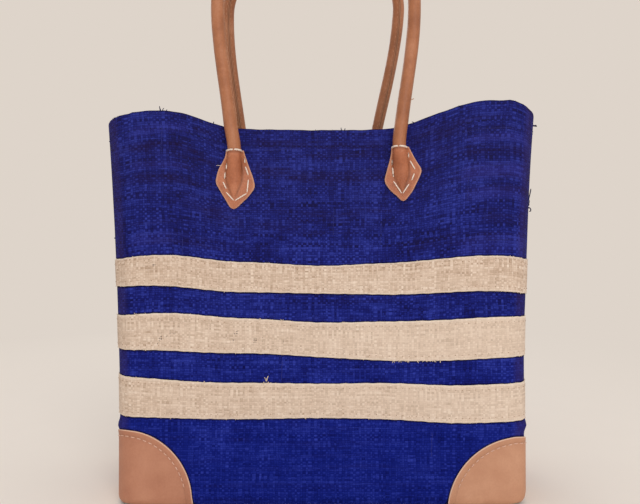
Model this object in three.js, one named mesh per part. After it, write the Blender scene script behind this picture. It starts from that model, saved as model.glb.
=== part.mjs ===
// A woven raffia beach tote: blue panels, natural bands, tan leather corners and rolled leather handles.
// Millimetres, +Z up. The origin is on the floor under the middle of the base. The front faces -Y.

import * as THREE from "three";

// Bag body
const BASE_WIDTH = 413;
const MOUTH_FLARE = 17; // how far each side leans out at the rim
const BAG_DEPTH = 160;
const RIM_HEIGHT = 382; // at the middle of the front and back
const PANEL_SINK = 22; // how far the middle of the front and back falls inward at the rim
const GUSSET_SINK = 10;
const GUSSET_DIP = 20; // how far the rim drops from a corner to the middle of its gusset
const BASE_CORNER_RADIUS = 20; // of the bag's vertical corners, seen from above
const RIM_CORNER_RADIUS = 34;
const BOTTOM_EDGE_RADIUS = 8; // where a wall turns under to meet the base
const FLARE_GROWTH = 2; // powers of the height at which the flare, the sinking and the rim's rise set in
const SINK_GROWTH = 2.4;
const RISE_GROWTH = 2;
const GUSSET_DIP_GROWTH = 1.2; // power at which the rim's dip sets in round a corner

// The rim rises towards its corners: how high, and from and to which distance from the side
const LEFT_RISE = 16;
const LEFT_RISE_START = 142;
const LEFT_RISE_END = 68;
const RIGHT_RISE = 26;
const RIGHT_RISE_START = 165;
const RIGHT_RISE_END = 55;

// Cloth and leather
const RAFFIA_THICKNESS = 1.5;
const SEAM_GAP = 0.4; // between a panel and a gusset at their seam
const HEM_WIDTH = 20; // raffia turned in at the rim
const LINING_THICKNESS = 0.8;
const LINING_GAP = 0.5; // between the lining and the raffia on either side of it
const LINING_BELOW_RIM = 6;
const BAND_THICKNESS = 1.0;
const BAND_GAP = 0.3;
const CORNER_LEATHER_THICKNESS = 1.8;
const TAB_THICKNESS = 2.2;
const BACKING_THICKNESS = 1.2;
const LEATHER_GAP = 0.4; // between leather and the raffia that it is sewn to
const BACKING_GAP = 0.6; // between an inner backing and the lining

// Natural bands: the height of each lower edge, and each width
const LOWER_BAND_HEIGHT = 88;
const LOWER_BAND_WIDTH = 35;
const MIDDLE_BAND_HEIGHT = 149;
const MIDDLE_BAND_WIDTH = 36;
const UPPER_BAND_HEIGHT = 212;
const UPPER_BAND_WIDTH = 30;

// Leather corners: each is a half disc folded round a corner
const CORNER_LEATHER_RADIUS = 71;
const LEFT_CORNER_LEATHER_CENTRE = 7; // height of the half disc's centre
const RIGHT_CORNER_LEATHER_CENTRE = 0.5;
const CORNER_LEATHER_TRIM = 5.3; // how much of the wall the leather leaves bare above the base seam
const CORNER_LEATHER_END = 2; // height of the leather where its arc comes down to the trimmed edge

// Handles
const FRONT_HANDLE_SPACING = 167; // between the two tabs of one handle
const BACK_HANDLE_SPACING = 160;
const FRONT_HANDLE_CENTRE = -3.5; // how far right of the bag's middle each handle sits
const BACK_HANDLE_CENTRE = -16;
const NECK_BELOW_RIM = 21; // where a tab ends and the roll's neck begins
const NECK_BELOW_HINGE = 10; // the soft neck, below and above the line it folds at
const NECK_ABOVE_HINGE = 17;
const HINGE_CLEARANCE = 0.5; // from the neck's face to the fold line
const NECK_OFF_RIM = 1.2; // between a neck and the rim that it stands against
const HANDLE_LEAN = 9; // degrees that a standing handle leans in over the mouth
const ROLL_RADIUS = 7;
const ROLL_LEATHER = 1.6;
const CORE_GAP = 0.3;
const END_GAP = 0.3; // between a tab, a neck and a roll, where they meet
const SEAM_RIB_WIDTH = 3.2; // the two sewn edges of the rolled leather, on the mouth side
const SEAM_RIB_HEIGHT = 2;
const LOOP_WIDTH = 206; // between the roll's centres, where the loop is widest
const FRONT_LOOP_WIDEST_AT = 160; // above the tabs
const BACK_LOOP_WIDEST_AT = 179;
const LOOP_HEIGHT = 265;
const LEG_SPLAY = 0.08; // how far a leg runs outward for each millimetre up, at its tab
const BACK_LOOP_SLANT = 0.047; // how far the back loop leans right for each millimetre up

// Handle tabs: the roll opens and flattens into a pointed leaf
const TAB_LENGTH = 62;
const TAB_WIDTH = 40;
const TAB_WIDEST_AT = 35; // below the neck
const TAB_TIP_WIDTH = 4;
const TAB_FLANGE = 0.6; // how far the leaf's edges stand out at the neck
const TAB_WIDENING = 1.15; // power at which the leaf widens below the neck, a little hollow at first
const TAB_OPENS_OVER = 16; // length in which the roll's leather comes down to the wall
const RIDGE_FADES_FROM = 12; // the cord's end inside the tab makes a ridge that fades out
const RIDGE_FADES_TO = 50;
const RIDGE_SHARE = 0.8; // most of the leaf's half width that the ridge's half width may take
const BACKING_MARGIN = 4; // how much smaller the inner backing is than its tab

// How finely the forms are cut
const PANEL_COLUMNS = 16;
const GUSSET_COLUMNS = 4;
const CORNER_COLUMNS = 2; // in each half of a vertical corner
const ROW_SPAN = 60; // most height between two rows of a wall
const LEAST_ROW_SPAN = 1;
const FOLD_EDGE = 1.2; // chamfer of the rim's fold
const LEATHER_COLUMNS = 6; // on the flat part of a leather corner, either side of its fold
const ROLL_SIDES = 10;
const BORE_SIDES = 8;
const ROLL_STEPS = 28;
const NECK_STEPS = 3;
const TAB_STEPS = 9;
const RIDGE_ACROSS = [0.96, 0.78, 0.42, 0, -0.42, -0.78, -0.96]; // shares of the ridge's half width
const UNDERSIDE_ACROSS = [-0.85, -0.5, 0, 0.5, 0.85]; // and under it
const LEATHER_MIDDLE_ROW = 0.6; // of a leather corner's height
const HEIGHT_PASSES = 5; // of the search for a point at a given height

const CLOTH = { roughness: 0.85, metalness: 0 };
const MATERIALS = {
  blueRaffia: new THREE.MeshStandardMaterial({ ...CLOTH, color: 0x232a78 }),
  naturalRaffia: new THREE.MeshStandardMaterial({ ...CLOTH, color: 0xd3b9a3 }),
  handleLeather: new THREE.MeshStandardMaterial({ color: 0xb07352, roughness: 0.5, metalness: 0 }),
  tabLeather: new THREE.MeshStandardMaterial({ color: 0xa66345, roughness: 0.5, metalness: 0 }),
  cornerLeather: new THREE.MeshStandardMaterial({ color: 0xbc8568, roughness: 0.65, metalness: 0 }),
  lining: new THREE.MeshStandardMaterial({ ...CLOTH, color: 0x2c3350 }),
  cord: new THREE.MeshStandardMaterial({ ...CLOTH, color: 0xcbb892 }),
};

const { clamp, degToRad, lerp, smoothstep } = THREE.MathUtils;
const RIGHT_ANGLE = Math.PI / 2;
const NECK_LENGTH = NECK_BELOW_HINGE + NECK_ABOVE_HINGE;
const NECK_Z = RIM_HEIGHT - NECK_BELOW_RIM;

const bag = new THREE.Group();

function add(name, geometry, material, group = bag) {
  const mesh = new THREE.Mesh(geometry, material);
  mesh.name = name;
  group.add(mesh);
}

// Closed solids from rings of points

// The faces between neighbouring rings of equal length, from point number start on.
function ringSides(rings, start, inward) {
  const count = rings.length ? rings[0].length : 0;
  const faces = [];
  for (let ring = 0; ring + 1 < rings.length; ring += 1) {
    for (let j = 0; j < count; j += 1) {
      const a = start + ring * count + j;
      const b = start + ring * count + ((j + 1) % count);
      const quad = [[a, b, b + count], [a, b + count, a + count]];
      faces.push(...(inward ? quad.map((face) => face.toReversed()) : quad));
    }
  }
  return faces;
}

// A solid through rings, closed at both ends. The rings of a thin one run out along one side of a sheet and
// back along the other, so that their ends close like a ladder.
function loft(rings, { thin = false, bores = [] } = {}) {
  const points = [...rings.flat(), ...bores.flat()];
  const boreStart = rings.flat().length;
  const boreCount = bores.length ? bores[0].length : 0;
  const faces = [...ringSides(rings, 0, false), ...ringSides(bores, boreStart, true)];
  const close = thin ? ladder : endFaces;
  const first = close(rings[0], bores[0], 0, boreStart);
  const last = close(rings.at(-1), bores.at(-1), boreStart - rings[0].length, points.length - boreCount);
  faces.push(...first.map((face) => face.toReversed()), ...last);
  return solid(points, faces);
}

// The triangles of a thin ring's end, turned the same way as the ring.
function ladder(ring, bore, start) {
  const faces = [];
  for (let i = 0; i + 1 < ring.length / 2; i += 1) {
    const back = ring.length - 1 - i;
    faces.push([i, i + 1, back], [i + 1, back - 1, back]);
  }
  return faces.map((face) => face.map((i) => start + i));
}

// The triangles of any other ring's end, round its bore if it has one.
function endFaces(ring, bore = [], ringStart, boreStart) {
  const [outline, hole] = flatten(ring, bore);
  const flat = [...outline, ...hole];
  const number = (i) => (i < ring.length ? ringStart + i : boreStart + i - ring.length);
  return THREE.ShapeUtils.triangulateShape(outline, hole.length ? [hole] : []).map((face) => {
    const sameTurn = THREE.ShapeUtils.area(face.map((i) => flat[i])) > 0;
    return (sameTurn ? face : face.toReversed()).map(number);
  });
}

// Rings drawn in the plane of the first one, which runs anticlockwise there.
function flatten(...rings) {
  const normal = new THREE.Vector3();
  const loop = rings[0];
  loop.forEach((p, i) => normal.add(p.clone().cross(loop[(i + 1) % loop.length])));
  normal.normalize();
  const steep = Math.abs(normal.z) > 0.9;
  const across = new THREE.Vector3(steep ? 1 : 0, 0, steep ? 0 : 1).cross(normal).normalize();
  const along = normal.clone().cross(across);
  return rings.map((ring) => ring.map((p) => new THREE.Vector2(p.dot(across), p.dot(along))));
}

// A geometry whose faces point out of the body that they enclose.
function solid(points, faces) {
  const volume = faces.reduce((sum, [a, b, c]) => sum + points[a].dot(points[b].clone().cross(points[c])), 0);
  const outward = volume > 0 ? faces : faces.map((face) => face.toReversed());
  const geometry = new THREE.BufferGeometry().setFromPoints(points);
  geometry.setIndex(outward.flat());
  geometry.computeVertexNormals();
  return geometry;
}

// The surface of the walls

// A place round the bag is told by a turn: 0 is the middle of the front, 3 the right gusset, 6 the back and 9
// the left gusset. Each face is flat for 1 either side of its middle, then bends for 0.5 up to its seam.
const FRONT = 0;
const RIGHT = 3;
const BACK = 6;
const LEFT = 9;
const WHOLE_TURN = 12;
const HALF_FLAT = 1;
const HALF_FACE = 1.5;
const FACES = [
  { name: "front", middle: FRONT, columns: PANEL_COLUMNS },
  { name: "right", middle: RIGHT, columns: GUSSET_COLUMNS },
  { name: "back", middle: BACK, columns: PANEL_COLUMNS },
  { name: "left", middle: LEFT, columns: GUSSET_COLUMNS },
];

// Height and inset of a wall whose bottom edge turns under in a quarter round.
function turnUnder(h) {
  if (h >= BOTTOM_EDGE_RADIUS) return { z: h, inset: 0 };
  const angle = (h / BOTTOM_EDGE_RADIUS) * RIGHT_ANGLE;
  return {
    z: BOTTOM_EDGE_RADIUS * (1 - Math.cos(angle)),
    inset: BOTTOM_EDGE_RADIUS * (1 - Math.sin(angle)),
  };
}

// The rounded rectangle that the walls follow at height h.
function planAt(h) {
  const share = Math.max(0, h / RIM_HEIGHT);
  const { inset } = turnUnder(h);
  const radius = lerp(BASE_CORNER_RADIUS, RIM_CORNER_RADIUS, share) - inset;
  return {
    radius,
    flatX: BASE_WIDTH / 2 + MOUTH_FLARE * share ** FLARE_GROWTH - inset - radius,
    flatY: BAG_DEPTH / 2 - inset - radius,
    bend: (radius * Math.PI) / 4,
  };
}

// A turn as a quarter of the bag: 0 is the middle of a panel, 1 to 2 the corner, 3 the middle of a gusset.
function quarterOf(turn) {
  const wrapped = turn > BACK ? turn - WHOLE_TURN : turn;
  const atBack = Math.abs(wrapped) > RIGHT;
  return {
    quarter: atBack ? BACK - Math.abs(wrapped) : Math.abs(wrapped),
    signX: wrapped < 0 ? -1 : 1,
    signY: atBack ? 1 : -1,
  };
}

// 1 in the middle of a face, and 0 without a kink at its seams.
const hump = (across) => Math.cos(RIGHT_ANGLE * Math.min(1, Math.abs(across))) ** 2;

// How far the rim's line is lifted above its height in the middle of the front.
function rimLift(x, signX, aroundCorner) {
  const fromSide = BASE_WIDTH / 2 + MOUTH_FLARE - x;
  const rise =
    signX < 0
      ? LEFT_RISE * (1 - smoothstep(fromSide, LEFT_RISE_END, LEFT_RISE_START))
      : RIGHT_RISE * (1 - smoothstep(fromSide, RIGHT_RISE_END, RIGHT_RISE_START));
  return rise - GUSSET_DIP * Math.sin(RIGHT_ANGLE * aroundCorner) ** GUSSET_DIP_GROWTH;
}

// A point of the walls' outer surface.
function surface(turn, h) {
  const { quarter, signX, signY } = quarterOf(turn);
  const { radius, flatX, flatY, bend } = planAt(h);
  const share = Math.max(0, h / RIM_HEIGHT);
  const cornerAngle = clamp(quarter - 1, 0, 1) * RIGHT_ANGLE;
  const pastCorner = clamp(quarter - 2, 0, 1);
  const onPanel = quarter <= HALF_FACE;
  const alongPanel = flatX * Math.min(quarter, 1) + radius * cornerAngle;
  const alongGusset = flatY * (1 - pastCorner) + radius * (RIGHT_ANGLE - cornerAngle);
  const panelSink = onPanel ? PANEL_SINK * hump(alongPanel / (flatX + bend)) : 0;
  const gussetSink = onPanel ? 0 : GUSSET_SINK * hump(alongGusset / (flatY + bend));
  const sinkShare = share ** SINK_GROWTH;
  const x = flatX * Math.min(quarter, 1) + (radius - gussetSink * sinkShare) * Math.sin(cornerAngle);
  const y = flatY * (1 - pastCorner) + (radius - panelSink * sinkShare) * Math.cos(cornerAngle);
  const aroundCorner = (radius * cornerAngle + flatY * pastCorner) / (radius * RIGHT_ANGLE + flatY);
  const z = turnUnder(h).z + rimLift(x, signX, aroundCorner) * share ** RISE_GROWTH;
  return new THREE.Vector3(signX * x, signY * y, z);
}

// A point outside the walls' outer surface by a distance, or inside it where the distance is negative.
function wallPoint(turn, h, out) {
  const step = 0.01;
  const across = surface(turn + step, h).sub(surface(turn - step, h));
  const up = surface(turn, h + step).sub(surface(turn, h - step));
  return surface(turn, h).addScaledVector(across.cross(up).normalize(), out);
}

// The turns of a face's columns at height h, from seam to seam.
function columnTurns({ middle, columns }, h) {
  const seam = HALF_FACE - SEAM_GAP / 2 / (planAt(h).radius * RIGHT_ANGLE);
  const bend = [];
  for (let j = 1; j <= CORNER_COLUMNS; j += 1) bend.push(lerp(HALF_FLAT, seam, j / CORNER_COLUMNS));
  const flat = [];
  for (let i = 0; i <= columns; i += 1) flat.push(lerp(-HALF_FLAT, HALF_FLAT, i / columns));
  return [...bend.map((turn) => -turn).reverse(), ...flat, ...bend].map((turn) => middle + turn);
}

// The turns of a closed ring round the whole bag.
function ringTurns() {
  const turns = [];
  const bend = (j) => lerp(HALF_FACE, HALF_FLAT, j / CORNER_COLUMNS);
  for (const { middle, columns } of FACES) {
    for (let j = 0; j < CORNER_COLUMNS; j += 1) turns.push(middle - bend(j));
    for (let i = 0; i < columns; i += 1) turns.push(middle + lerp(-HALF_FLAT, HALF_FLAT, i / columns));
    for (let j = CORNER_COLUMNS; j > 0; j -= 1) turns.push(middle + bend(j));
  }
  return turns;
}

// Sorted heights with no two closer than a least span, and more between them where a span is too long.
function rowHeights(wanted, span) {
  const sorted = wanted.toSorted((a, b) => a - b);
  const rows = [sorted[0]];
  for (const height of sorted.slice(1)) {
    const low = rows.at(-1);
    if (height - low < LEAST_ROW_SPAN) continue;
    const steps = Math.ceil((height - low) / span);
    for (let i = 1; i <= steps; i += 1) rows.push(lerp(low, height, i / steps));
  }
  return rows;
}

// A piece that lies along a face. Its profile is a closed line of points (h, out), h up the wall.
function alongFace(face, profile) {
  const count = columnTurns(face, 0).length;
  const rings = [];
  for (let column = 0; column < count; column += 1) {
    rings.push(profile.map(({ x: h, y: out }) => wallPoint(columnTurns(face, h)[column], h, out)));
  }
  return loft(rings, { thin: true });
}

const at = (h, out) => new THREE.Vector2(h, out);

// Walls, each with its hem folded over the lining's edge

const BANDS = [
  { name: "lower_band", bottom: LOWER_BAND_HEIGHT, width: LOWER_BAND_WIDTH },
  { name: "middle_band", bottom: MIDDLE_BAND_HEIGHT, width: MIDDLE_BAND_WIDTH },
  { name: "upper_band", bottom: UPPER_BAND_HEIGHT, width: UPPER_BAND_WIDTH },
];
const HEM_BOTTOM = RIM_HEIGHT - HEM_WIDTH;
const QUARTER_ROUND_ROWS = [0, BOTTOM_EDGE_RADIUS / 3, (BOTTOM_EDGE_RADIUS * 2) / 3, BOTTOM_EDGE_RADIUS];
const WALL_ROWS = rowHeights(
  [...QUARTER_ROUND_ROWS, ...BANDS.flatMap(({ bottom, width }) => [bottom, bottom + width]), HEM_BOTTOM],
  ROW_SPAN,
);
const LINING_OUTSIDE = -RAFFIA_THICKNESS - LINING_GAP;
const LINING_INSIDE = LINING_OUTSIDE - LINING_THICKNESS;
const HEM_OUTSIDE = LINING_INSIDE - LINING_GAP;
const HEM_INSIDE = HEM_OUTSIDE - RAFFIA_THICKNESS;

const WALL_PROFILE = [
  ...WALL_ROWS.map((h) => at(h, 0)),
  at(RIM_HEIGHT - FOLD_EDGE, 0),
  at(RIM_HEIGHT, -FOLD_EDGE),
  at(RIM_HEIGHT, HEM_INSIDE + FOLD_EDGE),
  at(RIM_HEIGHT - FOLD_EDGE, HEM_INSIDE),
  at(HEM_BOTTOM, HEM_INSIDE),
  at(HEM_BOTTOM, HEM_OUTSIDE),
  at(RIM_HEIGHT - RAFFIA_THICKNESS, HEM_OUTSIDE),
  at(RIM_HEIGHT - RAFFIA_THICKNESS, -RAFFIA_THICKNESS),
  ...WALL_ROWS.map((h) => at(h, -RAFFIA_THICKNESS)).reverse(),
];

for (const face of FACES) {
  const kind = face.middle === FRONT || face.middle === BACK ? "panel" : "gusset";
  add(`${face.name}_${kind}`, alongFace(face, WALL_PROFILE), MATERIALS.blueRaffia);
}

// The flat base, inside the edge of the walls
{
  const inset = BOTTOM_EDGE_RADIUS + SEAM_GAP;
  const radius = BASE_CORNER_RADIUS - inset;
  const shape = ringTurns().map((turn) => {
    const { quarter, signX, signY } = quarterOf(turn);
    const angle = clamp(quarter - 1, 0, 1) * RIGHT_ANGLE;
    const flatX = BASE_WIDTH / 2 - inset - radius;
    const flatY = BAG_DEPTH / 2 - inset - radius;
    const x = flatX * Math.min(quarter, 1) + radius * Math.sin(angle);
    const y = flatY * (1 - clamp(quarter - 2, 0, 1)) + radius * Math.cos(angle);
    return new THREE.Vector2(signX * x, signY * y);
  });
  const rings = [0, RAFFIA_THICKNESS].map((z) => shape.map(({ x, y }) => new THREE.Vector3(x, y, z)));
  add("base_panel", loft(rings), MATERIALS.blueRaffia);
}

// The lining: one bag of thin cloth, its edge caught in the hems
{
  const rows = [...WALL_ROWS, RIM_HEIGHT - LINING_BELOW_RIM];
  const turns = ringTurns().reverse(); // so that its facets lie parallel to the walls' facets
  const ring = (h, out) => turns.map((turn) => wallPoint(turn, h, out));
  const rings = [
    ...rows.map((h) => ring(h, LINING_OUTSIDE)),
    ...rows.map((h) => ring(h, LINING_INSIDE)).reverse(),
  ];
  add("lining", loft(rings), MATERIALS.lining);
}

// Natural raffia bands, sewn on over the blue
for (const face of FACES) {
  for (const { name, bottom, width } of BANDS) {
    const outside = BAND_GAP + BAND_THICKNESS;
    const top = bottom + width;
    const profile = [at(bottom, BAND_GAP), at(top, BAND_GAP), at(top, outside), at(bottom, outside)];
    add(`${face.name}_${name}`, alongFace(face, profile), MATERIALS.naturalRaffia);
  }
}

// Leather corners

// The turn at a distance along the wall from a seam, towards the higher turns.
function turnFromSeam({ seam, panelFirst }, distance, h) {
  const { flatX, flatY, bend } = planAt(h);
  const onPanel = distance < 0 === panelFirst;
  const away = Math.abs(distance);
  const half = HALF_FACE - HALF_FLAT;
  const turns = away <= bend ? (away / bend) * half : half + (away - bend) / (onPanel ? flatX : flatY);
  return seam + Math.sign(distance) * turns;
}

function cornerLeather(corner) {
  const radius = CORNER_LEATHER_RADIUS;
  const topAt = (distance) => corner.centre + Math.sqrt(radius ** 2 - distance ** 2);
  const lowestTop = Math.max(corner.centre, CORNER_LEATHER_TRIM + CORNER_LEATHER_END);
  const reach = Math.sqrt(radius ** 2 - (lowestTop - corner.centre) ** 2);
  const fold = planAt(BOTTOM_EDGE_RADIUS).bend;
  const columns = [];
  for (let i = 0; i <= CORNER_COLUMNS; i += 1) columns.push((h) => (planAt(h).bend * i) / CORNER_COLUMNS);
  for (let i = 1; i <= LEATHER_COLUMNS; i += 1) {
    const angle = lerp(Math.asin(fold / radius), Math.asin(reach / radius), i / LEATHER_COLUMNS);
    columns.push(() => radius * Math.sin(angle));
  }
  const ring = (column, side) => {
    const top = topAt(column(BOTTOM_EDGE_RADIUS));
    const middle = Math.min(BOTTOM_EDGE_RADIUS, lerp(CORNER_LEATHER_TRIM, top, LEATHER_MIDDLE_ROW));
    const rows = [CORNER_LEATHER_TRIM, middle, top];
    const line = (out) => rows.map((h) => wallPoint(turnFromSeam(corner, side * column(h), h), h, out));
    return [...line(LEATHER_GAP), ...line(LEATHER_GAP + CORNER_LEATHER_THICKNESS).reverse()];
  };
  const before = columns.slice(1).reverse().map((column) => ring(column, -1));
  return loft([...before, ...columns.map((column) => ring(column, 1))], { thin: true });
}

const CORNERS = [
  { name: "front_right", seam: FRONT + HALF_FACE, panelFirst: true, centre: RIGHT_CORNER_LEATHER_CENTRE },
  { name: "back_right", seam: RIGHT + HALF_FACE, panelFirst: false, centre: RIGHT_CORNER_LEATHER_CENTRE },
  { name: "back_left", seam: BACK + HALF_FACE, panelFirst: true, centre: LEFT_CORNER_LEATHER_CENTRE },
  { name: "front_left", seam: LEFT + HALF_FACE, panelFirst: false, centre: LEFT_CORNER_LEATHER_CENTRE },
];
for (const corner of CORNERS) {
  add(`${corner.name}_corner_leather`, cornerLeather(corner), MATERIALS.cornerLeather);
}

// Handle tabs

// A point at height z on the flat of the front or back. x runs to the right of someone who faces that side.
function panelPoint(middle, x, z, out) {
  let h = z;
  const turn = () => middle + x / planAt(h).flatX;
  for (let i = 0; i < HEIGHT_PASSES; i += 1) h += z - surface(turn(), h).z;
  return wallPoint(turn(), h, out);
}

// Half the leaf's width at a distance below the neck.
function tabHalfWidth(down) {
  const neck = ROLL_RADIUS + TAB_FLANGE;
  if (down <= TAB_WIDEST_AT) return lerp(neck, TAB_WIDTH / 2, (down / TAB_WIDEST_AT) ** TAB_WIDENING);
  return lerp(TAB_WIDTH / 2, TAB_TIP_WIDTH / 2, (down - TAB_WIDEST_AT) / (TAB_LENGTH - TAB_WIDEST_AT));
}

// The section of a tab: a round roll at the neck, which flattens into a leaf with a ridge down its middle.
function tabSection(down) {
  const opened = smoothstep(down, 0, TAB_OPENS_OVER);
  const faded = smoothstep(down, RIDGE_FADES_FROM, RIDGE_FADES_TO);
  const halfWidth = tabHalfWidth(down);
  const ridge = Math.min(ROLL_RADIUS, halfWidth * RIDGE_SHARE);
  const edgeBottom = (1 - opened) * (ROLL_RADIUS - TAB_THICKNESS / 2);
  const edgeTop = edgeBottom + TAB_THICKNESS;
  const crest = lerp(2 * ROLL_RADIUS, TAB_THICKNESS, faded);
  const round = (share) => Math.sqrt(1 - share ** 2);
  const foot = round(RIDGE_ACROSS[0]); // the ridge's side stands a little steep where it meets the leaf
  const rise = (share) => (round(share) - foot) / (1 - foot);
  return [
    at(halfWidth, edgeBottom),
    at(halfWidth, edgeTop),
    ...RIDGE_ACROSS.map((share) => at(share * ridge, edgeTop + (crest - edgeTop) * rise(share))),
    at(-halfWidth, edgeTop),
    at(-halfWidth, edgeBottom),
    ...UNDERSIDE_ACROSS.map((share) => at(share * ridge, edgeBottom * (1 - round(share)))),
  ];
}

function tabGeometry(middle, x) {
  const rings = [];
  for (let i = 0; i <= TAB_STEPS; i += 1) {
    const down = (TAB_LENGTH * i) / TAB_STEPS;
    rings.push(tabSection(down).map((p) => panelPoint(middle, x + p.x, NECK_Z - down, LEATHER_GAP + p.y)));
  }
  return loft(rings);
}

// The backing that the tab's stitches hold on to, on the lining below the hem.
function backingGeometry(middle, x) {
  const outside = LINING_INSIDE - BACKING_GAP;
  const inside = outside - BACKING_THICKNESS;
  const start = Math.max(0, HEM_WIDTH - NECK_BELOW_RIM) + BACKING_MARGIN;
  const rings = [];
  for (let i = 0; i < TAB_STEPS; i += 1) {
    const down = lerp(start, TAB_LENGTH - BACKING_MARGIN, i / (TAB_STEPS - 1));
    const half = Math.max(TAB_TIP_WIDTH / 2, tabHalfWidth(down) - BACKING_MARGIN);
    const point = (side, out) => panelPoint(middle, x + side * half, NECK_Z - down, out);
    rings.push([point(-1, outside), point(1, outside), point(1, inside), point(-1, inside)]);
  }
  return loft(rings);
}

// Handles

// The line of a handle's loop in its own plane: x sideways from its middle, y up from its tabs.
function loopCurve({ spacing, widestAt, slant }) {
  const foot = spacing / 2;
  const wide = LOOP_WIDTH / 2;
  const crown = LOOP_HEIGHT - widestAt;
  const circle = 0.5523; // reach of a Bezier handle that makes a quarter of an ellipse
  const place = (x, y) => new THREE.Vector3(x + slant * y, y, 0);
  const leg = (side) => [
    place(side * foot, 0),
    place(side * (foot + (LEG_SPLAY * widestAt) / 3), widestAt / 3),
    place(side * wide, (widestAt * 2) / 3),
    place(side * wide, widestAt),
  ];
  const arch = (side) => [
    place(side * wide, widestAt),
    place(side * wide, widestAt + circle * crown),
    place(side * circle * wide, LOOP_HEIGHT),
    place(0, LOOP_HEIGHT),
  ];
  const path = new THREE.CurvePath();
  path.add(new THREE.CubicBezierCurve3(...leg(-1)));
  path.add(new THREE.CubicBezierCurve3(...arch(-1)));
  path.add(new THREE.CubicBezierCurve3(...arch(1).reverse()));
  path.add(new THREE.CubicBezierCurve3(...leg(1).reverse()));
  return path;
}

// A ring round a point of a line. In the section x is sideways and y is away from the wall.
function ringAbout({ point, along, outward }, section) {
  const away = outward.clone().addScaledVector(along, -outward.dot(along)).normalize();
  const sideways = along.clone().cross(away);
  return section.map((p) => point.clone().addScaledVector(sideways, p.x).addScaledVector(away, p.y));
}

function circleSection(radius, sides) {
  const points = [];
  for (let i = 0; i < sides; i += 1) {
    const angle = ((i + 0.5) / sides) * 2 * Math.PI;
    points.push(at(radius * Math.sin(angle), -radius * Math.cos(angle)));
  }
  return points;
}

// A round roll with the rib of its sewn edges on the mouth side.
function rollSection() {
  const half = Math.asin(SEAM_RIB_WIDTH / 2 / ROLL_RADIUS);
  const points = [];
  for (let i = 0; i <= ROLL_SIDES; i += 1) {
    const angle = lerp(half, 2 * Math.PI - half, i / ROLL_SIDES);
    points.push(at(ROLL_RADIUS * Math.sin(angle), -ROLL_RADIUS * Math.cos(angle)));
  }
  const ribTop = -ROLL_RADIUS - SEAM_RIB_HEIGHT;
  return [...points, at(-SEAM_RIB_WIDTH / 2, ribTop), at(SEAM_RIB_WIDTH / 2, ribTop)];
}

// A group at the handle's fold line: x along the fold, y up the standing loop, z away from the mouth.
function handleFrame(name, middle, xs) {
  const [low, high] = xs.map((x) => panelPoint(middle, x, RIM_HEIGHT, NECK_OFF_RIM + ROLL_RADIUS));
  const sideways = high.clone().sub(low).setZ(0).normalize();
  const lean = degToRad(HANDLE_LEAN);
  const outward = sideways.clone().cross(new THREE.Vector3(0, 0, 1));
  const up = new THREE.Vector3(0, 0, Math.cos(lean)).addScaledVector(outward, -Math.sin(lean));
  const away = sideways.clone().cross(up);
  const frame = new THREE.Group();
  frame.name = `${name}_handle`;
  frame.quaternion.setFromRotationMatrix(new THREE.Matrix4().makeBasis(sideways, up, away));
  frame.position.copy(low).add(high).divideScalar(2);
  frame.position.addScaledVector(up, NECK_BELOW_HINGE - NECK_BELOW_RIM / Math.cos(lean));
  frame.position.addScaledVector(away, ROLL_RADIUS + HINGE_CLEARANCE);
  frame.updateMatrixWorld();
  return frame;
}

// A neck bends from its tab's direction into the roll's.
function neckGeometry(middle, x, end) {
  const foot = panelPoint(middle, x, NECK_Z, LEATHER_GAP + ROLL_RADIUS);
  const wallUp = panelPoint(middle, x, RIM_HEIGHT, 0).sub(panelPoint(middle, x, NECK_Z, 0)).normalize();
  const bend = new THREE.CubicBezierCurve3(
    foot,
    foot.clone().addScaledVector(wallUp, NECK_LENGTH / 3),
    end.point.clone().addScaledVector(end.along, -NECK_LENGTH / 3),
    end.point,
  );
  const gap = END_GAP / NECK_LENGTH;
  const rings = [];
  for (let k = 0; k <= NECK_STEPS; k += 1) {
    const t = lerp(gap, 1 - gap, k / NECK_STEPS);
    const place = { point: bend.getPoint(t), along: bend.getTangent(t), outward: end.outward };
    rings.push(ringAbout(place, circleSection(ROLL_RADIUS, ROLL_SIDES)));
  }
  return loft(rings);
}

function buildHandle({ name, middle, centre, ...loop }) {
  const xs = [-1, 1].map((side) => centre + (side * loop.spacing) / 2);
  const frame = handleFrame(name, middle, xs);
  const curve = loopCurve(loop);
  const start = NECK_LENGTH / curve.getLength();
  const station = (t) => ({
    point: curve.getPoint(t).add(new THREE.Vector3(0, -NECK_BELOW_HINGE, -ROLL_RADIUS - HINGE_CLEARANCE)),
    along: curve.getTangent(t),
    outward: new THREE.Vector3(0, 0, 1),
  });
  const rings = (section) => {
    const places = [];
    for (let i = 0; i <= ROLL_STEPS; i += 1) places.push(station(lerp(start, 1 - start, i / ROLL_STEPS)));
    return places.map((place) => ringAbout(place, section));
  };
  const bore = rings(circleSection(ROLL_RADIUS - ROLL_LEATHER, BORE_SIDES));
  const core = rings(circleSection(ROLL_RADIUS - ROLL_LEATHER - CORE_GAP, BORE_SIDES));
  add(`${name}_handle_roll`, loft(rings(rollSection()), { bores: bore }), MATERIALS.handleLeather, frame);
  add(`${name}_handle_core`, loft(core), MATERIALS.cord, frame);
  bag.add(frame);

  xs.forEach((x, i) => {
    const side = (i === 0) === (middle === FRONT) ? "left" : "right";
    const { point, along, outward } = station(i === 0 ? start : 1 - start);
    const end = {
      point: frame.localToWorld(point),
      along: along.multiplyScalar(i === 0 ? 1 : -1).applyQuaternion(frame.quaternion),
      outward: outward.applyQuaternion(frame.quaternion),
    };
    add(`${name}_${side}_tab`, tabGeometry(middle, x), MATERIALS.tabLeather);
    add(`${name}_${side}_backing`, backingGeometry(middle, x), MATERIALS.tabLeather);
    add(`${name}_${side}_neck`, neckGeometry(middle, x, end), MATERIALS.handleLeather);
  });
}

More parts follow.
